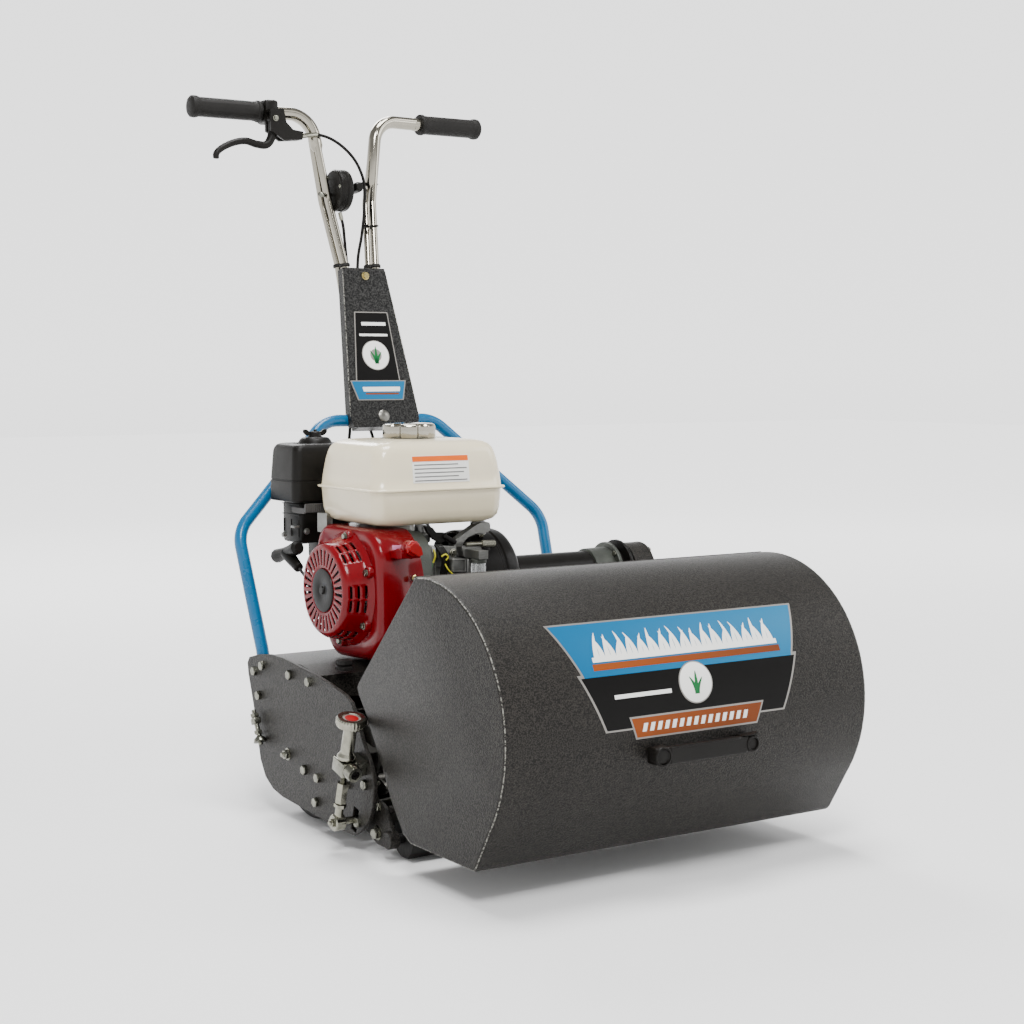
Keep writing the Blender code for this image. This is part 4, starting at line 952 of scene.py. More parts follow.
def film(piece, first, last, left, right, height, sink=0.0006, columns=20, rows=None):
    """A film wrapped on the catcher's front; left and right give its sides at each angle."""
    rows = rows or max(2, int(abs(last - first) / 1.2))
    rings = []
    for i in range(rows + 1):
        angle = first + (last - first) * i / rows
        low, high = left(angle), right(angle)
        xs = [low + (high - low) * j / columns for j in range(columns + 1)]
        ring = [on_catcher(x, angle, height) for x in xs]
        rings.append(ring + [on_catcher(x, angle, -sink) for x in reversed(xs)])
    piece.skin(rings)


def narrow_film(piece, first, last, shape, height, rows):
    """A film one column wide; shape gives its middle and its half width at each angle."""
    film(
        piece, first, last,
        lambda angle: shape(angle)[0] - shape(angle)[1],
        lambda angle: shape(angle)[0] + shape(angle)[1],
        height, columns=1, rows=rows,
    )


# half width of the catcher's label at each angle, from its top to its foot
LABEL_TOP = [(134.4, 0.199), (156.4, 0.1702), (157.8, 0.169)]
LABEL_FOOT = [(156.4, 0.1765), (179.2, 0.1436)]
LABEL_STRIP = [(174.3, 0.108), (183.2, 0.0975)]


def band(piece, first, last, stops, inset, height, shift=0.0):
    film(
        piece, first, last,
        lambda angle: shift - along_edge(stops, angle) + inset,
        lambda angle: shift + along_edge(stops, angle) - inset,
        height,
    )


def bands(name, material, *rows):
    """One piece of bands on the catcher's front, each row being what band takes."""
    piece = Piece()
    for row in rows:
        band(piece, *row)
    piece.done(name, material, "catcher")


def catcher_label():
    """The catcher's generic label: a row of grass blades, a badge with three more, and plain bands."""
    bands(
        "catcher_label_border", SILVER_FILM,
        (134.4, 156.6, LABEL_TOP, 0, 0.00035),
        (156.4, 179.2, LABEL_FOOT, 0, 0.00035),
        (174.3, 183.2, LABEL_STRIP, 0, 0.0007),
    )
    bands("catcher_label_blue_band", BLUE_FILM, (135.2, 157.7, LABEL_TOP, 0.003, 0.00055))
    bands(
        "catcher_label_brown_bands", BROWN_FILM,
        (152.7, 155.3, [(152, 0.15), (156, 0.15)], 0, 0.0008),
        (175.0, 182.5, LABEL_STRIP, 0.0024, 0.0009),
    )
    bands("catcher_label_black_band", BLACK_FILM, (157.7, 178.5, LABEL_FOOT, 0.0032, 0.00055))

    title = Piece()
    count, width = 34, 0.008
    for i in range(count):
        middle_at = -0.14 + 0.28 * i / (count - 1)
        lean = (0.0075, -0.0055, 0.003, -0.0085)[i % 4]
        top = (139.6, 142.2, 140.6, 141.6, 143.0)[i % 5]

        def grass(angle, at=middle_at, lean=lean, top=top):
            share = (150.2 - angle) / (150.2 - top)
            return at + lean * share * share, width * (1 - share) ** 0.7 / 2 + 0.0002

        narrow_film(title, top, 150.2, grass, 0.0008, 8)
    band(title, 150.0, 152.0, [(150, 0.148), (152, 0.148)], 0, 0.00085)
    title.done("catcher_label_grass_row", WHITE_FILM, "catcher")

    strip = Piece()
    for i in range(15):
        at = -0.084 + 0.0115 * i
        narrow_film(strip, 177.2, 180.4, lambda angle: (at - 0.0008 * (angle - 178.8), 0.003), 0.00115, 3)
    band(strip, 165.3, 166.9, [(165, 0.044), (167, 0.044)], 0, 0.0008, shift=-0.083)
    strip.done("catcher_label_dashes", WHITE_FILM, "catcher")
    badge_at = (0.0009, 163.9)
    ring, disc, leaf = Piece(), Piece(), Piece()
    badge(ring, badge_at, 0.0268, 0.0011)
    ring.done("catcher_badge_ring", SILVER_FILM, "catcher")
    badge(disc, badge_at, 0.0252, 0.0014)
    disc.done("catcher_badge_disc", WHITE_FILM, "catcher")
    for bend, reach in ((-0.0095, 4.6), (0.001, 6.0), (0.0105, 4.2)):
        foot, top = badge_at[1] + 4.6, badge_at[1] + 4.6 - reach * 1.5

        def blade(angle, bend=bend, foot=foot, top=top):
            share = (foot - angle) / (foot - top)
            return badge_at[0] + bend * share**1.6, 0.0034 * (1 - share) ** 0.6 + 0.0002

        narrow_film(leaf, top, foot, blade, 0.0017, 12)
    leaf.done("catcher_badge_blades", GREEN_FILM, "catcher")


def badge(piece, at, radius, height, steps=48):
    """A round film on the catcher's front."""
    rings = [[on_catcher(at[0], at[1], -0.0006)]]
    for share, lift in ((1.0, -0.0006), (1.0, height - 0.0003), (0.97, height), (0.5, height)):
        ring = []
        for i in range(steps):
            angle = 2 * pi * i / steps
            up = radius * share * sin(angle) / CATCHER_RADIUS * 180 / pi
            ring.append(on_catcher(at[0] + radius * share * cos(angle), at[1] + up, lift))
        rings.append(ring)
    rings.append([on_catcher(at[0], at[1], height)])
    piece.skin(rings)


def catcher_handle():
    """The moulded pull handle: a bar with a thumb lip between two eyes, each held by a screw."""
    front = CATCHER_CENTRE[0] - CATCHER_RADIUS
    at, height = front - 0.0185, 0.178
    piece = Piece()
    rings = []
    for i in range(33):
        share = i / 32
        x = -0.06 + 0.12 * share
        swell = 1 + 0.18 * sin(pi * share) ** 2
        section = rounded(
            [(-0.0045, -0.0112), (0.0045, -0.0112), (0.0045, 0.0112), (-0.0045 * swell, 0.0112)], 0.0036
        )
        rings.append(
            [(x, at + u, height + v * (1.0 if v < 0 else 0.96 + 0.04 * swell)) for u, v in section]
        )
    piece.skin(rings)
    lip = [(-0.056, -0.001), (-0.05, -0.0052), (0.05, -0.0052), (0.056, -0.001), (0.05, 0.003)]
    lip += [(-0.05, 0.003)]
    piece.prism([(x, at + y) for x, y in rounded(lip, 0.004)], height + 0.0086, height + 0.0114, "Z")
    flange = [(0.06, 0.0112), (0.077, 0.0112), (0.0812, 0.0142), (0.07, 0.0128), (0.056, 0.012)]
    piece.prism([(x, height + z) for x, z in flange], at - 0.0046, at + 0.006, "Y")
    for sign, big in ((-1, 0.0016), (1, -0.0006)):
        profile = [(0.0112 + big, 0.008), (0.0112 + big, -0.0034), (0.0104 + big, -0.005)]
        profile += [(0.0086 + big, -0.0052), (0.0076 + big, 0.001), (0.005, 0.0014)]
        piece.turned(profile, (sign * 0.0718, at, height), (0, 1, 0), 40)
        piece.block((0.025, 0.021, 0.0222), (sign * 0.07, at + 0.0075, height), edge=0.0035)
        piece.block((0.012, 0.008, 0.0222), (sign * 0.059, at, height), edge=0.003)
    piece.done("catcher_pull_handle", BLACK_PLASTIC, "catcher", ("catcher_handle",), 0.0004)
    screws = Piece()
    for sign in SIDES.values():
        profile = [(0.0046, 0.004), (0.0046, 0.0006), (0.0036, -0.0004), (0.0014, -0.0005), (0.0012, 0.001)]
        screws.turned(profile, (sign * 0.0718, at, height), (0, 1, 0), 28)
    screws.done("catcher_handle_screws", STEEL, "catcher")


# ---------------------------------------------------------------- handle

HANDLE_LEAN = radians(16.1)
COLUMN = Matrix.Translation((0, 0.479, 0.559)) @ Matrix.Rotation(-HANDLE_LEAN, 4, "X")
COLUMN_LENGTH = 0.2665
COLUMN_HALF_LOW, COLUMN_HALF_TOP = 0.0626, 0.0384  # half width near its foot and at its top
COLUMN_TAPER_FROM = 0.014


def on_column(across, along, behind=0.0):
    """A point by its place on the column's front face: across it, up it, and behind it."""
    return COLUMN @ Vector((across, behind, along))


def column_half(along):
    share = (along - COLUMN_TAPER_FROM) / (COLUMN_LENGTH - COLUMN_TAPER_FROM)
    return COLUMN_HALF_LOW + (COLUMN_HALF_TOP - COLUMN_HALF_LOW) * share


def column():
    """The pressed column with pale lines on its front edges that are partly wear and partly a painted
    highlight, bolts, plain panels, and the collars round its rods.
    """
    edged("handle_column", COLUMN_PAINT, 0.0022)
    # Pale lines along the column's bent front edges: wear specks and a painted highlight.
    wear_and_highlight = Piece()
    for sign in SIDES.values():
        heights = (0.018, 0.09, 0.17, 0.262)
        points = [on_column(sign * (column_half(s) + 0.00025), s, 0.0004) for s in heights]
        wear_and_highlight.pipe(points, [0.0006, 0.001, 0.0009, 0.0006], 8)
    wear_and_highlight.done("column_edge_wear_and_painted_highlight", EDGE_WEAR_AND_PAINTED_HIGHLIGHT)

    out = on_column(0, 0, -1) - on_column(0, 0, 0)
    Piece().bolt(on_column(0.0008, 0.253), out, 0.0095, 0.0045, turn=0.2).done("column_upper_bolt", BRASS)
    profile = [(0.01, 0), (0.0096, 0.001), (0.006, 0.003), (0, 0.0036)]
    Piece().turned(profile, on_column(-0.0021, 0.0185), out, 28).done("column_lower_bolt", STEEL)

    def panel(name, material, outline, height, round_by=0.004, low=0.0005):
        piece = Piece().prism(rounded(outline, round_by), -height, low, "Y")
        bmesh.ops.transform(piece.bm, matrix=COLUMN, verts=piece.bm.verts)
        piece.done(name, material)

    edge = [(-0.0439, 0.0764), (0.0372, 0.0764), (0.0317, 0.1921), (-0.0294, 0.1921)]
    panel("column_panel_border", SILVER_FILM, edge, 0.0005, 0.001)
    inner = [(-0.0418, 0.077), (0.0352, 0.077), (0.03, 0.1904), (-0.0277, 0.1904)]
    panel("column_panel_field", BLACK_FILM, inner, 0.0008, 0.001)
    for name, low, high, left, right in (
        ("upper", 0.169, 0.1745, -0.0197, 0.0247),
        ("lower", 0.1512, 0.1548, -0.0263, 0.0254),
    ):
        panel(f"column_panel_{name}_bar", WHITE_FILM, oblong(left, low, right, high), 0.0011, 0.0006)
    edge = [(-0.0452, 0.0441), (0.0383, 0.0441), (0.0473, 0.077), (-0.0547, 0.077)]
    panel("column_band_border", SILVER_FILM, edge, 0.0009, 0.001)
    inner = [(-0.0432, 0.0457), (0.0364, 0.0457), (0.0448, 0.0754), (-0.0522, 0.0754)]
    panel("column_blue_band", BLUE_FILM, inner, 0.0012, 0.001)
    panel(
        "column_band_bar", WHITE_FILM,
        [(-0.033, 0.0585), (0.033, 0.0585), (0.0345, 0.066), (-0.0345, 0.066)], 0.0015, 0.001,
    )
    panel("column_band_line", BROWN_FILM, oblong(-0.03, 0.0535, 0.031, 0.056), 0.0015, 0.001)
    for name, radius, lift, material in (
        ("ring", 0.0248, 0.0013, SILVER_FILM),
        ("disc", 0.0236, 0.0016, WHITE_FILM),
        ("dot", 0.0105, 0.0018, SILVER_FILM),
    ):
        profile = [(radius, 0), (radius, lift - 0.0003), (radius - 0.0004, lift), (0, lift)]
        Piece().turned(profile, on_column(-0.0015, 0.1188), out, 48).done(f"column_badge_{name}", material)
    leaf = Piece()
    for bend, tall in ((-0.01, 0.022), (0.0008, 0.029), (0.0106, 0.02)):
        left, right = [], []
        for i in range(9):
            share = i / 8
            x, w = bend * share**1.6 - 0.0015, 0.0034 * (1 - share) ** 0.6 + 0.0001
            left.append((x - w, 0.1046 + tall * share))
            right.append((x + w, 0.1046 + tall * share))
        leaf.prism(left + right[::-1], -0.0022, -0.001, "Y")
    bmesh.ops.transform(leaf.bm, matrix=COLUMN, verts=leaf.bm.verts)
    leaf.done("column_badge_blades", GREEN_FILM)

    collars = Piece()
    for sign in SIDES.values():
        entry, stop, twin = rod_ends(sign)
        for back in (0, 1):
            start = entry + twin * back
            down = (stop - entry).normalized()
            profile = [
                (0.0063, -0.002), (0.008, -0.0016), (0.0086, -0.0004), (0.0086, 0.003), (0.0063, 0.004),
            ]
            collars.turned(profile, start, down, 32)
    collars.done("rod_collars", GRIP_RUBBER)


def rod_bend(sign):
    """Where a front handle rod meets its upper bend."""
    return Vector((sign * 0.041, 0.596, 0.9257))


def rod_ends(sign):
    """Where a front handle rod enters the column and stops in it, and how far back its twin lies."""
    return Vector((sign * 0.0285, 0.5645, 0.82)), Vector((sign * 0.022, 0.538, 0.7)), Vector((0, 0.0225, 0))


def handle_frame():
    """The blue tube, and the bolts that hold its feet to the plates."""
    half = [(-0.268, 0.356, 0.156), (-0.2685, 0.3853, 0.236), (-0.277, 0.4463, 0.4064)]
    half += [(-0.099, 0.5028, 0.5694)]
    path = half + [(-x, y, z) for x, y, z in reversed(half)]
    tube = Piece().pipe(bent(path, 0.055, 18), 0.0096, 32)
    tube.done("handle_frame_tube", BLUE, replaces=("handle_frame",))
    bolts = Piece()
    for sign in SIDES.values():
        for along in (0.1, 0.62):
            at = Vector(half[0]).lerp(Vector(half[1]), along)
            bolts.bolt((-sign * 0.259, at.y, at.z), (sign, 0, 0), 0.013, 0.005)
    bolts.done("handle_frame_bolts", ZINC)


def handlebars():
    """On each side two chromed rods that join at the grip's inner end, and the moulded grip."""
    bolts = Piece()
    for side, sign in SIDES.items():
        inner, outer = Vector((sign * 0.136, 0.6252, 1.0632)), Vector((sign * 0.26, 0.6299, 1.0638))
        away = (outer - inner).normalized()
        piece = Piece().rod(0.0109, inner, outer - away * 0.002, 32, 0.0008)
        entry, stop, twin = rod_ends(sign)
        for back, start_back, drop in ((twin * 0, -0.004, 0.0035), (twin, 0.005, -0.0035)):
            path = [inner + Vector((sign * 0.0015, start_back, drop))]
            path += [Vector((sign * 0.062, 0.619 + start_back, 1.0632 + drop))]
            path += [rod_bend(sign) + back, entry + back, stop + back]
            piece.pipe(bent(path, 0.042, 16), 0.0062, 24)
        corner, joined = Vector((sign * 0.062, 0.619, 1.0632)), Vector((sign * 0.0435, 0.6045, 0.956))
        path = [inner, corner, corner.lerp(joined, 0.47 if side == "right" else 1.0)]
        path = bent(path, 0.042, 20)
        last = path[-1] + (path[-1] - path[-2]).normalized() * 0.009
        piece.pipe(path + [last], [0.0104] * len(path) + [0.007], 32)
        piece.done(f"{side}_handle_rods", CHROME, replaces=(f"{side}_handlebar",))
        start, length = inner + away * 0.0115, (outer - inner).length - 0.003

        def panels(angle, along, length=length):
            inside = 0.012 < along < length - 0.016
            return 1 - (0.045 * max(0.0, cos(4 * angle)) ** 0.5 if inside else 0)

        profile = [(0.0114, 0), (0.0168, 0.0004), (0.0174, 0.0018), (0.0174, 0.006), (0.016, 0.0074)]
        profile += [(0.0158, 0.0119), (0.0158, 0.0135)]
        profile += [(0.016, 0.0135 + (length - 0.03) * i / 10) for i in range(1, 11)]
        profile += [(0.016, length - 0.0155), (0.0172, length - 0.012), (0.0176, length - 0.009)]
        profile += [(0.017, length - 0.004), (0.014, length - 0.0012), (0.008, length), (0, length)]
        grip = Piece().turned(profile, start, away, 96, panels)
        grip.done(f"{side}_grip_moulded", GRIP_RUBBER, replaces=(f"{side}_grip",))
        if side == "right":
            bolts.rod(0.0028, (sign * 0.04, 0.596, 0.933), (sign * 0.056, 0.59, 0.933), 16)
            bolts.bolt((sign * 0.053, 0.5911, 0.933), (-1, -0.35, 0), 0.008, 0.005, washer=False)
    bolts.done("handle_rod_bolts", ZINC)


def rod_line(sign, height, back=0.0):
    """The place of a handle rod at this height between the column and its upper bend."""
    low, high = rod_ends(sign)[0], rod_bend(sign)
    share = (height - low.z) / (high.z - low.z)
    return low.lerp(high, share) + Vector((0, back, 0))


def ties():
    """Cable ties that hold the cable to the left-hand rods, with their heads and cut tails."""
    piece = Piece()
    for height, wide, deep, back in ((0.956, 0.0125, 0.0125, 0.006), (0.886, 0.009, 0.0195, 0.0112)):
        at = rod_line(1, height, back)
        ring = []
        for i in range(33):
            angle = 2 * pi * i / 32
            ring.append(at + Vector((wide * cos(angle), deep * sin(angle), 0.001 * cos(angle))))
        piece.pipe(ring, 0.0017, 8)
        piece.block((0.006, 0.0055, 0.0065), at + Vector((-wide - 0.002, -0.005, 0)), (0, 0, 0.2), 0.0008)
        piece.block((0.009, 0.0012, 0.0034), at + Vector((-wide - 0.007, -0.007, 0.001)), (0.2, 0, 0.3))
    piece.done("handle_cable_ties", BLACK_PLASTIC)


def lever_parts():
    """The clutch lever with its clamp, the pivot bolt, and the cable's ferrule and adjuster."""
    pivot = Vector((-0.1375, 0.6005, 1.05))
    edged("lever_bracket", BLACK_PLASTIC, 0.0016)
    lever = Piece()
    x, y, z = pivot
    line = [(x, y, z), (-0.1385, y, 1.025), (-0.148, y, 1.009), (-0.165, y, 1.008), (-0.185, y, 1.012)]
    line += [(-0.206, y, 1.008), (-0.225, y, 0.999), (-0.235, y, 0.99), (-0.236, y, 0.981)]
    path = curved(line, 8)
    size = [0.0066 - 0.0024 * i / (len(path) - 1) for i in range(len(path))]
    size[-1] = 0.003
    lever.pipe(path, size, 20, 1.15)
    lever.turned(
        [(0.003, -0.0055), (0.008, -0.0055), (0.008, 0.0055), (0.003, 0.0055)], pivot, (0, 1, 0), 32,
    )
    lever.done("clutch_lever_moulded", BLACK_PLASTIC, "clutch_lever", ("clutch_lever",), 0.0004)
    bolt = Piece().bolt(pivot + Vector((0, -0.0115, 0)), (0, -1, 0), 0.007, 0.003)
    bolt.bolt(pivot + Vector((0, 0.0115, 0)), (0, 1, 0), 0.011, 0.0042, stud=0.003)
    bolt.done("lever_pivot_bolt", ZINC)
    ferrule = Piece()
    start, along = Vector((-0.0905, 0.6005, 1.026)), Vector((0.97, 0, 0.14))
    profile = [(0.003, -0.004), (0.0044, -0.0035), (0.0044, 0.006), (0.0038, 0.0064), (0.0038, 0.024)]
    profile += [(0.0034, 0.025), (0.0034, 0.032), (0.0026, 0.034)]
    ferrule.turned(profile, start, along, 24)
    ferrule.hexagon(0.0095, 0.0042, start + along * 0.001, along)
    ferrule.done("clutch_cable_ferrule", BRIGHT)


def throttle():
    """The throttle's round housing with its rim and screws, and the thumb lever beside it."""
    y, z = 0.5975, 0.942
    profile = [(0.01, 0), (0.0316, 0.0002), (0.0336, 0.0022), (0.034, 0.005), (0.034, 0.01)]
    profile += [(0.0326, 0.0112), (0.0326, 0.0124), (0.034, 0.0136), (0.034, 0.019), (0.033, 0.0222)]
    profile += [(0.03, 0.023), (0.014, 0.0232)]
    housing = Piece().turned(profile, (-0.0322, y, z), (1, 0, 0), 72)
    housing.rod(0.0028, (-0.052, 0.6083, 0.936), (-0.03, 0.6083, 0.936), 20, 0.0004)
    housing.block((0.015, 0.018, 0.016), (-0.0215, 0.62, 0.928), (0.3, 0, 0), 0.003)
    housing.done("throttle_case", BLACK_PLASTIC, replaces=("throttle_housing",), edge=0.0004)
    screws = Piece()
    for i in range(3):
        angle = radians(50 + 120 * i)
        spot = (-0.0322, *on_circle((y, z), 0.0265, angle))
        screws.turned(
            [(0.0036, -0.0004), (0.0034, 0.001), (0.0018, 0.0018), (0, 0.0019)], spot, (-1, 0, 0), 24,
        )
    screws.done("throttle_screws", ZINC)
    lever = Piece().turned(
        [(0.003, 0), (0.012, 0.0002), (0.012, 0.0062), (0.0105, 0.0067)], (-0.0087, y, z), (1, 0, 0), 48,
    )
    rings = []
    for along, tall, wide in ((0.0, 0.006, 0.0046), (0.01, 0.007, 0.0056), (0.02, 0.0068, 0.0064),
                              (0.026, 0.0062, 0.0066), (0.03, 0.004, 0.0056)):
        section = rounded(oblong(-wide, -tall, wide, tall), 0.0025)
        rings.append([(0.0 + u, 0.593 - along, 0.943 + v + along * 0.14) for u, v in section])
    lever.skin(rings)
    for i in range(4):
        lever.block(
            (0.0116, 0.0014, 0.0016), (0.0002, 0.576 - 0.0036 * i, 0.9524 + 0.0004 * i), edge=0.0004,
        )
    lever.done("throttle_thumb_lever", BLACK_PLASTIC, "throttle_lever", ("throttle_lever",), 0.0004)


CLUTCH_CABLE = [
    (-0.087, 0.6005, 1.0255),
    (-0.074, 0.6005, 1.028),
    (-0.0595, 0.6, 1.0305),
    (-0.0355, 0.6, 1.026),
    (-0.0126, 0.599, 1.014),
    (0.0071, 0.5975, 0.996),
    (0.0194, 0.596, 0.975),
    (0.0258, 0.596, 0.952),
    (0.027, 0.599, 0.91),
    (0.024, 0.603, 0.87),
    (0.018, 0.606, 0.825),
    (0.008, 0.586, 0.74),
    (0.003, 0.56, 0.65),
    (0.0, 0.544, 0.6),
    (0.0, 0.53, 0.548),
    (0.012, 0.506, 0.5),
    (0.03, 0.47, 0.45),
    (0.038, 0.425, 0.41),
    (0.038, 0.375, 0.375),
    (0.032, 0.34, 0.347),
    (0.03, 0.3085, 0.34),
]
THROTTLE_CABLE = [
    (-0.02, 0.595, 0.905),
    (-0.014, 0.596, 0.885),
    (-0.008, 0.602, 0.86),
    (-0.002, 0.606, 0.825),
    (-0.002, 0.586, 0.74),
    (-0.012, 0.56, 0.65),
    (-0.028, 0.544, 0.6),
    (-0.04, 0.53, 0.548),
    (-0.056, 0.51, 0.51),
    (-0.082, 0.492, 0.47),
    (-0.104, 0.48, 0.43),
    (-0.13, 0.468, 0.405),
    (-0.145, 0.4455, 0.395),
]


def cables():
    """The two control cables, with the sleeves at their ends."""
    for node, route in (("clutch_cable", CLUTCH_CABLE), ("throttle_cable", THROTTLE_CABLE)):
        Piece().pipe(curved(route, 8), 0.0025, 16).done(node + "_sheath", BLACK_PLASTIC, replaces=(node,))
    sleeves = Piece()
    for route in (CLUTCH_CABLE, THROTTLE_CABLE):
        for end, after in ((route[0], route[1]), (route[-1], route[-2])):
            along = Vector(after) - Vector(end)
            profile = [(0.0026, -0.002), (0.0034, -0.0015), (0.0036, 0.009), (0.0029, 0.011)]
            sleeves.turned(profile, end, along, 20)
    sleeves.done("cable_end_sleeves", BRIGHT)


# ---------------------------------------------------------------- engine


def ring_of(low, high, inset, radius, z, steps=8):
    """A level rounded rectangle between two corners, inset from them, as points at this height."""
    (x_low, y_low), (x_high, y_high) = (low[0] + inset, low[1] + inset), (high[0] - inset, high[1] - inset)
    corners = [(x_high - radius, y_high - radius), (x_low + radius, y_high - radius)]
    corners += [(x_low + radius, y_low + radius), (x_high - radius, y_low + radius)]
    points = []
    for i, corner in enumerate(corners):
        points += arc(corner, radius, 90 * i, 90 * (i + 1), steps)
    return [(x, y, z) for x, y in points]


def fuel_tank():
    """Two drawn halves crimped in a flange, domed on top, with the filler's neck and a printed label."""
    low, high = TANK_LOW, TANK_HIGH
    levels = [(0.06, 0.01, 0.4272), (0.04, 0.013, 0.4274), (0.024, 0.017, 0.429), (0.014, 0.019, 0.4335)]
    levels += [(0.009, 0.021, 0.44), (0.0068, 0.022, 0.45), (0.0055, 0.022, 0.47), (0.005, 0.022, 0.4776)]
    levels += [(0.0035, 0.023, 0.4786), (0.0004, 0.025, 0.4788), (0.0, 0.025, 0.4795), (0.0, 0.025, 0.4808)]
    levels += [
        (0.0004, 0.025, 0.4815), (0.0035, 0.023, 0.4817), (0.005, 0.022, 0.4828), (0.0066, 0.022, 0.5),
    ]
    levels += [
        (0.0095, 0.022, 0.52), (0.012, 0.022, 0.531), (0.0145, 0.022, 0.538), (0.0185, 0.0225, 0.5435),
    ]
    levels += [(0.0245, 0.022, 0.547), (0.033, 0.02, 0.549), (0.045, 0.016, 0.5502), (0.06, 0.01, 0.5508)]
    levels += [(0.076, 0.008, 0.551)]
    tank = Piece()
    tank.skin([ring_of(low, high, *section) for section in levels])
    tank.done("fuel_tank_drawn", CREAM, replaces=("fuel_tank",), angle=50)
    profile = [(0.03, 0.5495), (0.042, 0.5498), (0.043, 0.5506), (0.04, 0.5515), (0.038, 0.552)]
    neck = Piece().turned(
        profile + [(0.033, 0.5535), (0.027, 0.5538)], (FILLER.x, FILLER.y, 0), (0, 0, 1), 64,
    )
    neck.done("filler_neck", BRIGHT)

    label = Piece()

    def wall(z):
        """How far the tank's upper half stands in from its outer box at this height."""
        for (a, _, za), (b, _, zb) in zip(levels[14:], levels[15:]):
            if za <= z <= zb:
                return a + (b - a) * (z - za) / (zb - za)
        return levels[-1][0]

    def sticker(piece, first, last, bottom, top, lift):
        """A film on the tank's front, from first to last across it; its edges go in under the paint."""
        rings = []
        for i in range(7):
            z = bottom + (top - bottom) * i / 6
            corners = ((first, -0.0008), (first, lift), (last, lift), (last, -0.0008))
            rings.append([(x, low.y + wall(z) - out, z) for x, out in corners])
        piece.skin(rings)

    x0, x1 = TANK_LABEL
    sticker(label, x0, x1, 0.49, 0.5287, 0.0004)
    label.done("tank_label", WHITE_FILM)
    top = Piece()
    sticker(top, x0 + 0.0006, x1 - 0.0006, 0.5205, 0.5282, 0.0007)
    top.done("tank_label_orange_strip", ORANGE_FILM)
    lines = Piece()
    for i in range(5):
        z = 0.4925 + 0.0056 * i
        sticker(lines, x0 + 0.003, x1 - (0.004, 0.018, 0.009)[i % 3], z, z + 0.0016, 0.0007)
    lines.done("tank_label_grey_lines", GREY_FILM)

    bolts = Piece()
    for x, y in ((-0.103, 0.168), (-0.01, 0.168), (-0.056, 0.34)):
        bolts.bolt((x, y, 0.4788), (0, 0, -1), 0.011, 0.0045)
    bolts.done("tank_bolts", ZINC)


def fuel_cap():
    """The pressed metal cap: a domed top, a beaded edge and a rim pressed into lobes."""

    def lobes(angle, along):
        if not 0.004 < along < 0.0236:
            return 1.0
        size, reach = 0.047 / 0.04, 0.012 / 0.04
        off = angle % radians(60) - radians(30)
        inside = reach**2 - (size * sin(off)) ** 2
        return min(1.0, size * cos(off) - inside**0.5) if inside > 0 else 1.0

    profile = [(0.027, -0.018), (0.027, 0.002), (0.0384, 0.0026), (0.0392, 0.0038), (0.0392, 0.0042)]
    profile += [(0.04, 0.006), (0.04, 0.019), (0.0394, 0.0216), (0.0376, 0.0232), (0.035, 0.024)]
    profile += [(0.03, 0.0246), (0.02, 0.0252), (0.01, 0.0256), (0, 0.0257)]
    cap = Piece().turned(profile, (FILLER.x, FILLER.y, 0.5484), (0, 0, 1), 180, lobes)
    cap.done("fuel_cap_pressed", CHROME, "fuel_cap", ("fuel_cap",), angle=50)


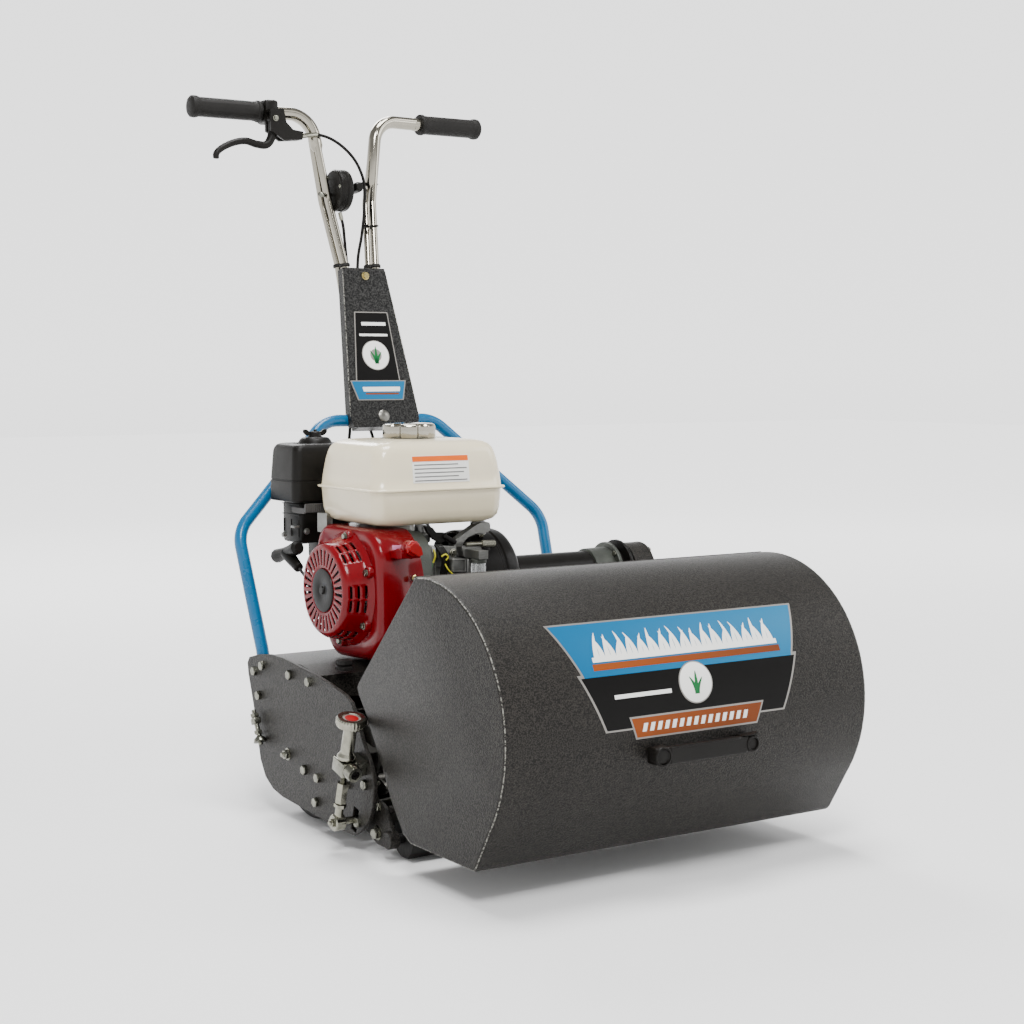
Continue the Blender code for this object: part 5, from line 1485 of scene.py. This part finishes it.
def air_cleaner():
    """The filter's cover with its wing nut, the ribbed base, the choke lever, and the bracket below."""
    low, high = span("air_cleaner_cover")
    levels = [(0.0016, 0.012, low.z), (0.0006, 0.0125, low.z + 0.001), (0.0, 0.013, low.z + 0.004)]
    levels += [
        (0.0, 0.013, 0.4836), (0.0012, 0.012, 0.4842), (0.0012, 0.012, 0.4856), (0.0004, 0.013, 0.4862),
    ]
    levels += [(0.0012, 0.013, 0.5), (0.003, 0.013, 0.528), (0.0044, 0.013, 0.5335), (0.007, 0.013, 0.5375)]
    levels += [(0.011, 0.012, 0.5395), (0.016, 0.01, 0.54), (0.018, 0.01, 0.5388), (0.032, 0.008, 0.5386)]
    cover = Piece()
    cover.skin([ring_of(low, high, *section) for section in levels])
    boss = (-0.1663, 0.406)
    profile = [(0.0262, 0.538), (0.0256, 0.541), (0.0232, 0.545), (0.0205, 0.5475), (0.019, 0.5484)]
    cover.turned(profile + [(0.012, 0.5486), (0.011, 0.55), (0.005, 0.5502)], (*boss, 0), (0, 0, 1), 48)
    for i in range(5):
        cover.block((0.0016, 0.056, 0.0018), (-0.208 + 0.0195 * i, boss[1], 0.539), edge=0.0005)
    cover.done("air_cleaner_moulding", BLACK_PLASTIC, replaces=("air_cleaner_cover",), angle=45)
    nut = Piece().turned(
        [(0.009, 0.5495), (0.0086, 0.555), (0.0064, 0.5575), (0.0034, 0.558)], (*boss, 0), (0, 0, 1), 28,
    )
    nut.rod(0.0026, (*boss, 0.553), (*boss, 0.5605), 20, 0.0004)
    for sign in SIDES.values():
        wing = [(0.005, 0.55), (0.015, 0.551), (0.02, 0.556), (0.0196, 0.5606), (0.014, 0.5606)]
        wing += [(0.0105, 0.557), (0.005, 0.5568)]
        outline = [(boss[0] + sign * x, z) for x, z in rounded(wing, 0.003)]
        nut.prism(outline, boss[1] - 0.002, boss[1] + 0.002, "Y")
    nut.done("air_cleaner_wing_nut", BLACK_PLASTIC, edge=0.0005)

    edged("air_cleaner_base", BLACK_PLASTIC, 0.0008)
    slot = Piece()
    x = span("air_cleaner_base")[0].x
    for z in (0.4478, 0.4322):
        slot.block((0.0016, 0.058, 0.0016), (x - 0.0003, 0.411, z), edge=0.0004)
    for y in (0.386, 0.411, 0.436):
        slot.block((0.0014, 0.0012, 0.026), (x - 0.0003, y, 0.412), edge=0.0003)
    slot.done("air_cleaner_base_ribs", BLACK_PLASTIC)
    outline = [(-0.025, -0.004), (0.017, -0.004), (0.0185, 0.0046), (-0.025, 0.0046)]
    lever = Piece().prism([(0.383 + y, 0.44 + z) for y, z in rounded(outline, 0.0035)], -0.2097, -0.2063)
    tip = [(-0.211, 0.4385), (-0.179, 0.4385), (-0.1755, 0.443), (-0.1755, 0.4515), (-0.211, 0.4515)]
    lever.prism(rounded(tip, 0.002), 0.3515, 0.356, "Y")
    for i in range(8):
        lever.block((0.001, 0.0014, 0.01), (-0.207 + 0.0036 * i, 0.3512, 0.445), edge=0.0003)
    lever.done("choke_lever_moulded", CHOKE_GREY, "choke_lever", ("choke_lever",), 0.0004)
    bits = Piece().block((0.018, 0.012, 0.004), (-0.205, 0.39, 0.415), edge=0.0008)
    bits.block((0.013, 0.02, 0.029), (-0.195, 0.32, 0.426), (0, 0, 0.3), 0.001)
    bits.bolt((-0.211, 0.42, 0.401), (-1, 0, 0), 0.007, 0.004)
    bits.bolt((-0.196, 0.378, 0.408), (0, -1, 0), 0.007, 0.003)
    bits.done("intake_bracket_and_bolts", ALLOY)


def recoil_cover():
    """The pressed starter dome: a slotted face round a plain hub plate, and a slotted skirt."""
    face_x, base_x = -0.2453, -0.2053
    count = 150
    piece = Piece()
    # rings from the hub out and back to the shroud: radius, x
    face = [(0.03, face_x + 0.0008), (0.035, face_x + 0.0002), (0.0365, face_x), (0.058, face_x)]
    face += [(0.0605, face_x + 0.0002), (0.064, face_x + 0.0014), (0.0662, face_x + 0.004)]
    skirt = [(0.0685, -0.2378), (0.0694, -0.2343), (0.0712, -0.2273), (0.0721, -0.2238), (0.0739, -0.2168)]
    skirt += [(0.0748, -0.2133), (0.077, -0.209), (0.08, -0.2068), (0.082, -0.2056), (0.0822, base_x)]
    rings = []
    for radius, x in face + skirt:
        rings.append([(x, *on_circle(CRANK, radius, radians(2.4 * i))) for i in range(count)])
    made = piece.skin(rings, caps=False)
    lookup = {}
    for r, ring in enumerate(made):
        for i, vert in enumerate(ring):
            lookup[vert] = (r, i)
    gone = []
    for f in piece.bm.faces:
        spots = [lookup[v] for v in f.verts]
        row = min(s[0] for s in spots)
        columns = sorted(s[1] for s in spots)
        column_at = columns[-1] if columns[0] == 0 and columns[-1] == count - 1 else columns[0]
        if row == 2 and column_at % 5 in (0, 1):
            gone.append(f)
        elif row in (7, 9, 11) and slotted(column_at * 2.4 + 1.2):
            gone.append(f)
    bmesh.ops.delete(piece.bm, geom=gone, context="FACES")
    dome = piece.done("recoil_dome", RED, replaces=("recoil_cover",), angle=40, facing=(-1, 0, 0))
    thicken(dome, 0.0016)
    profile = [(0.03, 0.0016), (0.0312, 0.0004), (0.0306, -0.0008), (0.029, -0.0012), (0.012, -0.0016)]
    profile += [(0.011, -0.001), (0.006, -0.001), (0.005, -0.003), (0, -0.0032)]
    Piece().turned(profile, (face_x, *CRANK), (1, 0, 0), 64).done("recoil_hub_plate", BLACK_PAINT)
    back = Piece().turned([(0.06, 0), (0.06, 0.001), (0.01, 0.0012)], (-0.223, *CRANK), (1, 0, 0), 64)
    for i in range(6):
        angle = radians(60 * i + 20)
        y, z = on_circle(CRANK, 0.042, angle)
        back.block((0.014, 0.03, 0.0016), (-0.231, y, z), (angle, 0, 0), 0.0004)
    back.done("recoil_pulley", BLACK_PAINT)
    bolts, bosses = Piece(), Piece()
    for angle in (157, 217, 277, 337, 37, 97):
        y, z = on_circle(CRANK, 0.077, radians(angle))
        profile = [(0.009, 0), (0.0088, 0.006), (0.0076, 0.0078), (0.003, 0.0079)]
        bosses.turned(profile, (base_x, y, z), (-1, 0, 0), 28)
        bolts.bolt((base_x - 0.0078, y, z), (-1, 0, 0), 0.008, 0.0034, turn=angle)
    bosses.done("recoil_bosses", RED)
    bolts.done("recoil_bolts", ZINC)


def slotted(angle):
    """Whether the dome's skirt has an opening at this angle: two windows between each pair of bolts."""
    for middle_at in (187, 247, 307, 7, 67, 127):
        off = (angle - middle_at + 180) % 360 - 180
        if 1.2 <= abs(off) <= 15.6:
            return True
    return False


def shroud_outline():
    outline = arc((0.188, 0.376), 0.049, 92, 170, 14)
    outline += arc((0.19, 0.296), 0.058, 190, 262, 14)
    outline += arc((0.262, 0.278), 0.044, 275, 345, 14)
    return outline + arc((0.298, 0.39), 0.035, 5, 88, 14)


def fan_shroud():
    """The red blower housing, drawn in one piece with a wide rounded edge, and what is fixed on it."""
    low, high = span("fan_shroud")
    outline = shroud_outline()
    piece = Piece()

    def mouth(spot, inset=0.0):
        """The shroud's open side, which slants towards the dome above the crankcase."""
        edge = []
        for y, z in shrunk(spot, inset):
            slant = min(1, max(0, (z - 0.335) / 0.06))
            edge.append((high.x - 0.004 - 0.018 * slant, y, z))
        return edge

    stations = [(0.0, low.x + 0.0125)]
    for i in range(1, 8):
        angle = radians(90 * i / 7)
        stations.append((0.0125 * (1 - cos(angle)), low.x + 0.0125 * (1 - sin(angle))))
    rings = [mouth(outline)] + [[(x, *p) for p in shrunk(outline, inset)] for inset, x in stations]
    rings.append([(low.x, *p) for p in shrunk(outline, 0.018)])
    made = piece.skin(rings, caps=False)
    hole = []
    last = made[-1]
    for vert in last:
        off = Vector((vert.co.y - CRANK[0], vert.co.z - CRANK[1])).normalized() * 0.056
        hole.append(piece.bm.verts.new((low.x, CRANK[0] + off.x, CRANK[1] + off.y)))
    for i in range(len(last)):
        j = (i + 1) % len(last)
        piece.bm.faces.new((last[i], last[j], hole[j], hole[i]))
    shroud = piece.done("fan_shroud_drawn", RED, replaces=("fan_shroud",), angle=50, facing=(-1, 0, 0))
    thicken(shroud, 0.0022)
    bolts = Piece()
    for y, z in ((0.1365, 0.358), (0.1305, 0.296)):
        bolts.bolt((-0.15, y, z), (0, -1, 0.05), 0.008, 0.0036, washer=False)
    bolts.done("shroud_bolts", BRASS)
    plate = Piece()
    plate.skin([mouth(outline, 0.0015), [(high.x + 0.0034, *q) for q in shrunk(outline, 0.006)]])
    plate.done("shroud_back_plate", DARK_ALLOY, edge=0.0008)
    label = Piece().block((0.016, 0.0008, 0.006), (-0.182, 0.1276, 0.404), (radians(-8), 0, 0), 0.0002)
    label.done("shroud_small_label", PINK_FILM)


def crankcase_parts():
    """The crankcase with its ribs, oil plug, covers and posts, as cast."""
    edged("crankcase", ALLOY, 0.0022)
    ribs = Piece()
    low_y = 0.182
    for i in range(5):
        ribs.block((0.0022, 0.005, 0.098), (-0.106 + 0.0165 * i, low_y - 0.0012, 0.324), edge=0.0009)
    for z in (0.286, 0.366):
        ribs.block((0.08, 0.004, 0.003), (-0.0726, low_y - 0.0008, z), edge=0.0009)
    ribs.block((0.09, 0.009, 0.012), (-0.0726, 0.1815, 0.262), edge=0.003)
    ribs.done("crankcase_ribs", ALLOY)
    bolts = Piece()
    for x, z in ((-0.106, 0.27), (-0.04, 0.27), (-0.106, 0.379), (-0.038, 0.379), (-0.038, 0.32)):
        bolts.bolt((x, 0.1812, z), (0, -1, 0), 0.0105, 0.005)
    for y in (0.196, 0.304):
        for z in (0.27, 0.372):
            bolts.bolt((-0.0306, y, z), (1, 0, 0), 0.0105, 0.005)
    bolts.done("crankcase_bolts", ZINC)
    profile = [(0.016, 0), (0.016, 0.004), (0.013, 0.006), (0.013, 0.015), (0.011, 0.017), (0, 0.0172)]
    plug = Piece().turned(
        profile, (-0.09, 0.183, 0.3), (0, -1, 0.25), 40, lambda a, s: 1 + 0.02 * cos(14 * a),
    )
    plug.done("oil_filler_plug", BLACK_PLASTIC)


def governor_side():
    """What shows between the tank and the catcher: the tank's arm, the side castings and the wires."""
    arm = Piece().rod(0.0104, (-0.005, 0.194, 0.4085), (-0.005, 0.194, 0.4276), 32, 0.0008)
    outline = [(-0.0576, 0.4013), (-0.0242, 0.4207), (-0.012, 0.4272), (0.0064, 0.4272), (0.0058, 0.412)]
    outline += [(-0.0192, 0.4109), (-0.0366, 0.4044), (-0.0441, 0.3921), (-0.0392, 0.3792), (-0.056, 0.38)]
    arm.prism(rounded(outline, 0.006), 0.18, 0.196, "Y")
    outline = [(-0.0531, 0.3953), (-0.0183, 0.3934), (-0.0183, 0.3763), (-0.0482, 0.3781)]
    arm.prism(rounded(outline, 0.003), 0.166, 0.184, "Y")
    arm.block((0.032, 0.02, 0.016), (-0.108, 0.196, 0.4085), edge=0.004)
    arm.done("tank_arm_cast", ALLOY, edge=0.001)
    cover = Piece().block((0.0234, 0.02, 0.0206), (-0.0611, 0.17, 0.3682), (0, radians(3), 0), 0.003)
    frame_at = [
        (-0.0714, 0.3772), (-0.0508, 0.376), (-0.0508, 0.3592), (-0.0714, 0.3604), (-0.0714, 0.3772),
    ]
    cover.pipe([(x, 0.1594, z) for x, z in frame_at], 0.0013, 8)
    cover.block((0.0224, 0.026, 0.022), (-0.037, 0.17, 0.3668), edge=0.003)
    for near, outline in (
        (0.168, [(-0.091, 0.3973), (-0.0605, 0.3957), (-0.0605, 0.3767), (-0.0911, 0.3785)]),
        (0.17, [(-0.122, 0.399), (-0.1, 0.3978), (-0.1, 0.354), (-0.113, 0.354)]),
    ):
        cover.prism(rounded(outline, 0.003), near, 0.176, "Y")
    cover.done("governor_side_cast", ALLOY, edge=0.0006)
    studs = Piece().rod(0.0034, (-0.0457, 0.166, 0.3975), (-0.019, 0.166, 0.397), 20)
    profile = [(0.003, 0), (0.0052, 0.0006), (0.0052, 0.023), (0.004, 0.0238)]
    studs.turned(profile, (-0.0195, 0.166, 0.397), (1, 0, -0.04), 60, lambda a, h: 1 + 0.05 * cos(20 * a))
    studs.bolt((-0.0667, 0.1678, 0.3865), (0, -1, 0), 0.0085, 0.004)
    studs.bolt((-0.107, 0.19, 0.409), (0, 0, -1), 0.011, 0.006)
    studs.bolt((-0.004, 0.192, 0.409), (0, 0, -1), 0.01, 0.0056)
    studs.done("governor_studs", BRIGHT)
    outline = [(-0.11, 0.4272), (-0.098, 0.4245), (-0.092, 0.417), (-0.075, 0.416), (-0.072, 0.406)]
    outline += [(-0.085, 0.401), (-0.096, 0.407), (-0.106, 0.418)]
    dark = Piece().prism(rounded(outline, 0.002), 0.172, 0.179, "Y")
    dark.block((0.024, 0.012, 0.007), (-0.07, 0.174, 0.406), (0, 0.5, 0), 0.002)
    for i in range(4):
        x = -0.09 + 0.0032 * i
        route = [
            (x - 0.004, 0.172, 0.399), (x, 0.164, 0.388), (x + 0.003, 0.162, 0.375),
            (x + 0.001, 0.166, 0.354),
        ]
        dark.pipe(curved(route, 5), 0.0019, 10)
    dark.done("governor_lever_and_wires", BLACK_PLASTIC)
    wires = Piece()
    loop = [(-0.0905, 0.16, 0.383), (-0.085, 0.158, 0.386), (-0.08, 0.159, 0.382), (-0.083, 0.16, 0.377)]
    wires.pipe(curved(loop, 5), 0.0012, 8)
    wires.pipe(curved([(-0.084, 0.161, 0.372), (-0.08, 0.159, 0.364), (-0.07, 0.159, 0.354)], 6), 0.001, 8)
    loop = [(-0.099, 0.168, 0.393), (-0.0975, 0.166, 0.384), (-0.0995, 0.168, 0.374)]
    wires.pipe(curved(loop, 6), 0.0013, 8)
    wires.done("stop_wires_yellow", YELLOW_WIRE)
    green = Piece().pipe(
        curved([(-0.104, 0.168, 0.38), (-0.103, 0.166, 0.37), (-0.104, 0.168, 0.358)], 6), 0.0012, 8,
    )
    green.done("stop_wire_green", GREEN_WIRE)


def top_end():
    """The finned cylinder and head, the spark plug and its lead, the carburettor and the exhaust."""
    centre_at, lean = Vector((-0.066, 0.37, 0.384)), radians(-20)
    turn = Matrix.Rotation(lean, 3, "X")
    fins = Piece().block((0.062, 0.08, 0.086), centre_at, (lean, 0, 0), 0.006)
    for i in range(11):
        at = centre_at + turn @ Vector((0, 0.0068 * i - 0.034, 0))
        fins.block((0.074, 0.002, 0.098), at, (lean, 0, 0), 0.0008)
    fins.done("cylinder_with_fins", ALLOY, replaces=("cylinder_head",))
    head = Piece()
    for x, z in ((-0.024, -0.032), (0.024, -0.032), (-0.024, 0.032), (0.024, 0.032)):
        at = centre_at + turn @ Vector((x, 0.04, z))
        head.bolt(at, turn @ Vector((0, 1, 0)), 0.011, 0.005)
    head.done("cylinder_head_bolts", ZINC)
    plug = Piece()
    at, out = centre_at + turn @ Vector((0.005, 0.04, 0)), turn @ Vector((0, 1, 0))
    profile = [(0.01, -0.002), (0.01, 0.004), (0.007, 0.005), (0.007, 0.018), (0.0085, 0.019)]
    plug.turned(profile + [(0.008, 0.034), (0.006, 0.038), (0, 0.0385)], at, out, 32)
    lead = [at + out * 0.036, at + out * 0.046 + Vector((-0.01, 0, -0.004)), (-0.096, 0.449, 0.348)]
    lead += [(-0.118, 0.425, 0.322), (-0.1265, 0.392, 0.302), (-0.127, 0.34, 0.302), (-0.128, 0.296, 0.306)]
    plug.pipe(curved(lead, 6), 0.0032, 14)
    plug.done("spark_plug_lead", BLACK_PLASTIC)

    carb = Piece().block((0.034, 0.04, 0.03), (-0.14, 0.356, 0.379), edge=0.004)
    profile = [(0.0185, 0.03), (0.019, 0.028), (0.0178, 0.0262), (0.0172, 0.008), (0.015, 0.003)]
    carb.turned(profile + [(0.01, 0.0008), (0.0056, 0)], (-0.14, 0.356, 0.327), (0, 0, 1), 48)
    carb.rod(0.015, (-0.156, 0.356, 0.38), (-0.124, 0.356, 0.38), 40, 0.001)
    carb.block((0.044, 0.005, 0.038), (-0.14, 0.377, 0.374), edge=0.002)
    carb.done("carburettor_cast", ALLOY, replaces=("carburettor",))
    small = Piece().hexagon(0.009, 0.005, (-0.14, 0.356, 0.3275), (0, 0, -1))
    for x, z in ((-0.1545, 0.389), (-0.1545, 0.369)):
        coil = []
        for i in range(61):
            angle = 2 * pi * i / 10
            coil.append((x - 0.0008 * i * 0.25, 0.34 + 0.0026 * cos(angle), z + 0.0026 * sin(angle)))
        small.pipe(coil, 0.0005, 6)
        small.rod(0.0013, (x, 0.34, z), (x - 0.015, 0.34, z), 14)
        small.turned(
            [(0.0034, 0), (0.0034, 0.0018), (0.0028, 0.0024), (0, 0.0025)], (x - 0.014, 0.34, z),
            (-1, 0, 0), 24,
        )
    small.pipe(curved([(-0.16, 0.342, 0.401), (-0.17, 0.33, 0.404), (-0.176, 0.313, 0.402)], 5), 0.0011, 8)
    small.done("carburettor_screws_and_springs", BRIGHT)

    muffler = Piece()
    low, high = span("muffler")
    rings = []
    for i in range(13):
        angle = radians(180 * i / 12)
        z = (low.z + high.z) / 2 - cos(angle) * (high.z - low.z) / 2
        inset = 0.0 if i == 6 else 0.012 * (1 - sin(angle) ** 0.5)  # the seam is at half height
        rings.append(ring_of(low, high, inset, 0.014, z, 6))
    muffler.skin(rings)
    muffler.turned(
        [(0.009, 0), (0.009, 0.012), (0.0076, 0.0122), (0.0074, 0.003)], (0.006, 0.408, 0.47), (1, 0, 0),
        32,
    )
    muffler.done("muffler_pressed", BLACK_PAINT, replaces=("muffler",), angle=50)
    guard = Piece()
    for i in range(6):
        for j in range(3):
            profile = [(0.0034, -0.0003), (0.0034, 0.0006), (0.0022, 0.0006), (0.002, -0.0003)]
            guard.turned(profile, (-0.058 + 0.0112 * i, 0.4402, 0.464 + 0.02 * j), (0, 1, 0), 16)
    guard.done("muffler_vents", DARK_ALLOY)


def engine_controls():
    """The fuel filter's clear bowl and cap, and the engine switch's base and grip."""
    low, high = span("fuel_filter_bowl")
    at = ((low.x + high.x) / 2, (low.y + high.y) / 2)
    profile = [(0.006, 0.0003), (0.009, 0.0008), (0.0106, 0.0035), (0.0109, 0.008), (0.0109, 0.0205)]
    bowl = Piece().turned(profile + [(0.01, 0.0212), (0.006, 0.0214)], (*at, low.z), (0, 0, 1), 40)
    bowl.done("fuel_filter_clear_bowl", CLEAR, replaces=("fuel_filter_bowl",))
    profile = [(0.006, 0.0213), (0.0118, 0.0213), (0.0118, 0.0258), (0.0104, 0.0266), (0.005, 0.0267)]
    cap = Piece().turned(
        profile, (*at, low.z), (0, 0, 1), 40, lambda a, s: 1 + 0.02 * cos(18 * a) if s > 0.0213 else 1,
    )
    cap.rod(0.0026, (*at, low.z + 0.004), (*at, low.z + 0.021), 16)
    cap.done("fuel_filter_cap", DARK_ALLOY)
    base = Piece()
    side = [
        (0.15, 0.3985), (0.1308, 0.399), (0.12, 0.404), (0.1095, 0.4015), (0.1095, 0.389), (0.123, 0.3885),
        (0.15, 0.389),
    ]
    base.prism(rounded(side, 0.003), -0.186, -0.1545, "X")
    base.turned([(0.013, 0.009), (0.013, 0.001), (0.0116, 0.0)], (-0.17, 0.109, 0.4015), (0, 1, 0), 40)
    base.done("engine_switch_base", RED, replaces=("engine_switch_box",), edge=0.001)
    profile = [(0.0104, 0.0002), (0.0106, 0.0012), (0.0106, 0.0052), (0.0098, 0.0062), (0.0084, 0.0066)]
    knob = Piece().turned(profile + [(0.005, 0.0068), (0, 0.0069)], (-0.17, 0.1086, 0.404), (0, -1, 0), 72,
                lambda a, s: 1 + (0.02 * cos(12 * a) if 0.0012 <= s <= 0.0062 else 0))
    lever = [
        (-0.18, 0.4075), (-0.172, 0.412), (-0.162, 0.406), (-0.159, 0.395), (-0.166, 0.393),
        (-0.179, 0.401),
    ]
    knob.prism(rounded(lever, 0.002), 0.0955, 0.103, "Y")
    knob.done("engine_switch_grip", SWITCH_RED, "engine_switch_knob", ("engine_switch_knob",))


def starter_handle():
    """The recoil starter's pull grip, and the rope that runs out of the dome to it."""
    grip = Piece()
    start, end = Vector((-0.225, 0.424, 0.3676)), Vector((-0.225, 0.348, 0.388))
    along = end - start
    profile = []
    for i in range(21):
        share = i / 20
        waist = 0.0094 + 0.0012 * cos(2 * pi * share)
        edge = min(share, 1 - share) * 20
        profile.append((waist * (0.62 + 0.38 * min(1, edge)) if edge < 1 else waist, along.length * share))
    grip.turned(profile, start, along, 40, lambda a, s: 1 + 0.02 * cos(10 * a))
    top = Vector((-0.225, 0.389, 0.377))
    stem = [(0.0094, 0), (0.0094, 0.012), (0.0086, 0.026), (0.0076, 0.04), (0.0072, 0.046), (0.004, 0.048)]
    grip.turned(stem, top, Vector((-0.225, 0.345, 0.356)) - top, 32)
    grip.done("starter_pull_grip", BLACK_PLASTIC, "starter_grip", ("starter_grip",), 0.0004)
    leave = Vector((-0.225, 0.314, 0.34))
    meet = Vector((-0.225, 0.345, 0.356))
    rope = Piece().pipe(curved([leave, leave.lerp(meet, 0.35), leave.lerp(meet, 0.7), meet], 8), 0.0022, 14)
    piece = rope.done("starter_rope", ROPE, body=None)
    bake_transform(piece)
    ring = [(0.003, -0.003), (0.0062, -0.003), (0.007, 0.0), (0.0062, 0.003), (0.003, 0.003)]
    Piece().turned(ring, leave, meet - leave, 28).done("rope_guide", BLACK_PLASTIC)


def hooks():
    """The hooks that carry the catcher, with their bolts."""
    for side, sign in SIDES.items():
        edged(f"{side}_catcher_hook", CHARCOAL, 0.0009)
    bolts = Piece()
    for sign in SIDES.values():
        bolts.bolt((sign * 0.2688, 0.079, 0.174), (-sign, 0, 0), 0.012, 0.005)
    bolts.done("catcher_hook_bolts", ZINC)


# ---------------------------------------------------------------- stage


def studio():
    """A pale floor that glows more the further it lies from the mower, a painted light that leaves the shade
    under the mower dark; soft lights, and the camera low at the mower's front right corner.
    """
    mesh = bpy.data.meshes.new("floor")
    bm = bmesh.new()
    bmesh.ops.create_grid(bm, x_segments=8, y_segments=8, size=14.0)
    bm.to_mesh(mesh)
    bm.free()
    floor = into_scene("floor", mesh)
    pale = Nodes("pale_floor_with_painted_glow", (0.86, 0.86, 0.86), 0.8, shine=0.1)
    reach = pale.tree.nodes.new("ShaderNodeVectorMath")
    reach.operation = "LENGTH"
    pale.join(pale.where, reach.inputs[0])
    # The floor glows more the further it lies from the mower: painted light that brightens the far floor and
    # leaves the shade under the mower dark.
    painted_floor_glow = pale.add("MapRange")
    painted_floor_glow.interpolation_type = "SMOOTHSTEP"
    for name, value in (("From Min", 0.7), ("From Max", 5.0), ("To Max", 1.7)):
        painted_floor_glow.inputs[name].default_value = value
    pale.join(reach.outputs["Value"], painted_floor_glow.inputs["Value"])
    pale.shader.inputs["Emission Color"].default_value = (1, 1, 1, 1)
    pale.join(painted_floor_glow.outputs["Result"], pale.shader.inputs["Emission Strength"])
    pale.relief(pale.noise(200, 2.0), 0.00002)
    mesh.materials.append(pale.material)

    world = bpy.data.worlds.new("studio")
    world.use_nodes = True
    tree = world.node_tree
    where = tree.nodes.new("ShaderNodeTexCoord")
    parts = tree.nodes.new("ShaderNodeSeparateXYZ")
    share = tree.nodes.new("ShaderNodeMapRange")
    share.inputs["From Min"].default_value = -1.0
    ramp = tree.nodes.new("ShaderNodeValToRGB")
    stops = [(0.0, 0.1), (0.46, 0.9), (0.5, 1.0), (0.61, 0.95), (0.72, 0.25), (1.0, 0.16)]
    set_stops(ramp, [(place, (level, level, level)) for place, level in stops])
    tree.links.new(where.outputs["Generated"], parts.inputs["Vector"])
    tree.links.new(parts.outputs["Z"], share.inputs["Value"])
    tree.links.new(share.outputs["Result"], ramp.inputs["Fac"])
    tree.links.new(ramp.outputs["Color"], tree.nodes["Background"].inputs["Color"])
    tree.nodes["Background"].inputs["Strength"].default_value = 2.3
    bpy.context.scene.world = world

    aim = Vector((0, 0, 0.45))  # about the mower's middle
    for name, place_at, size, power in (
        ("key_light", (-1.5, -2.4, 3.5), 1.3, 140),
        ("fill_light", (2.8, -1.6, 2.4), 1.8, 40),
        ("rim_light", (0.6, 3.0, 2.8), 1.8, 120),
        ("top_light", (0.0, -0.1, 3.6), 1.6, 150),
    ):
        light = bpy.data.lights.new(name, "AREA")
        light.shape = "DISK"
        light.size = size
        light.energy = power
        obj = into_scene(name, light)
        obj.location = place_at
        obj.rotation_euler = (aim - Vector(place_at)).to_track_quat("-Z", "Y").to_euler()

    camera = into_scene("camera", bpy.data.cameras.new("camera"))
    camera.data.lens, camera.data.sensor_width = 64.25, 36
    camera.location = (-1.4433, -2.2386, 0.6592)
    looks_down, turned_right = radians(4.625), radians(33.299)
    camera.rotation_euler = (radians(90) - looks_down, 0, -turned_right)
    bpy.context.scene.camera = camera


def build():
    for part in (
        studio, plates, deck_bolts, tensioner, reel, rollers, roller_carriage, adjuster, chain_side,
        drive_line, catcher_shell, catcher_label, catcher_handle, hooks, column, handle_frame, handlebars,
        ties, lever_parts, throttle, cables, fuel_tank, fuel_cap, air_cleaner, recoil_cover, fan_shroud,
        crankcase_parts, governor_side, top_end, engine_controls, starter_handle,
    ):
        part()


build()
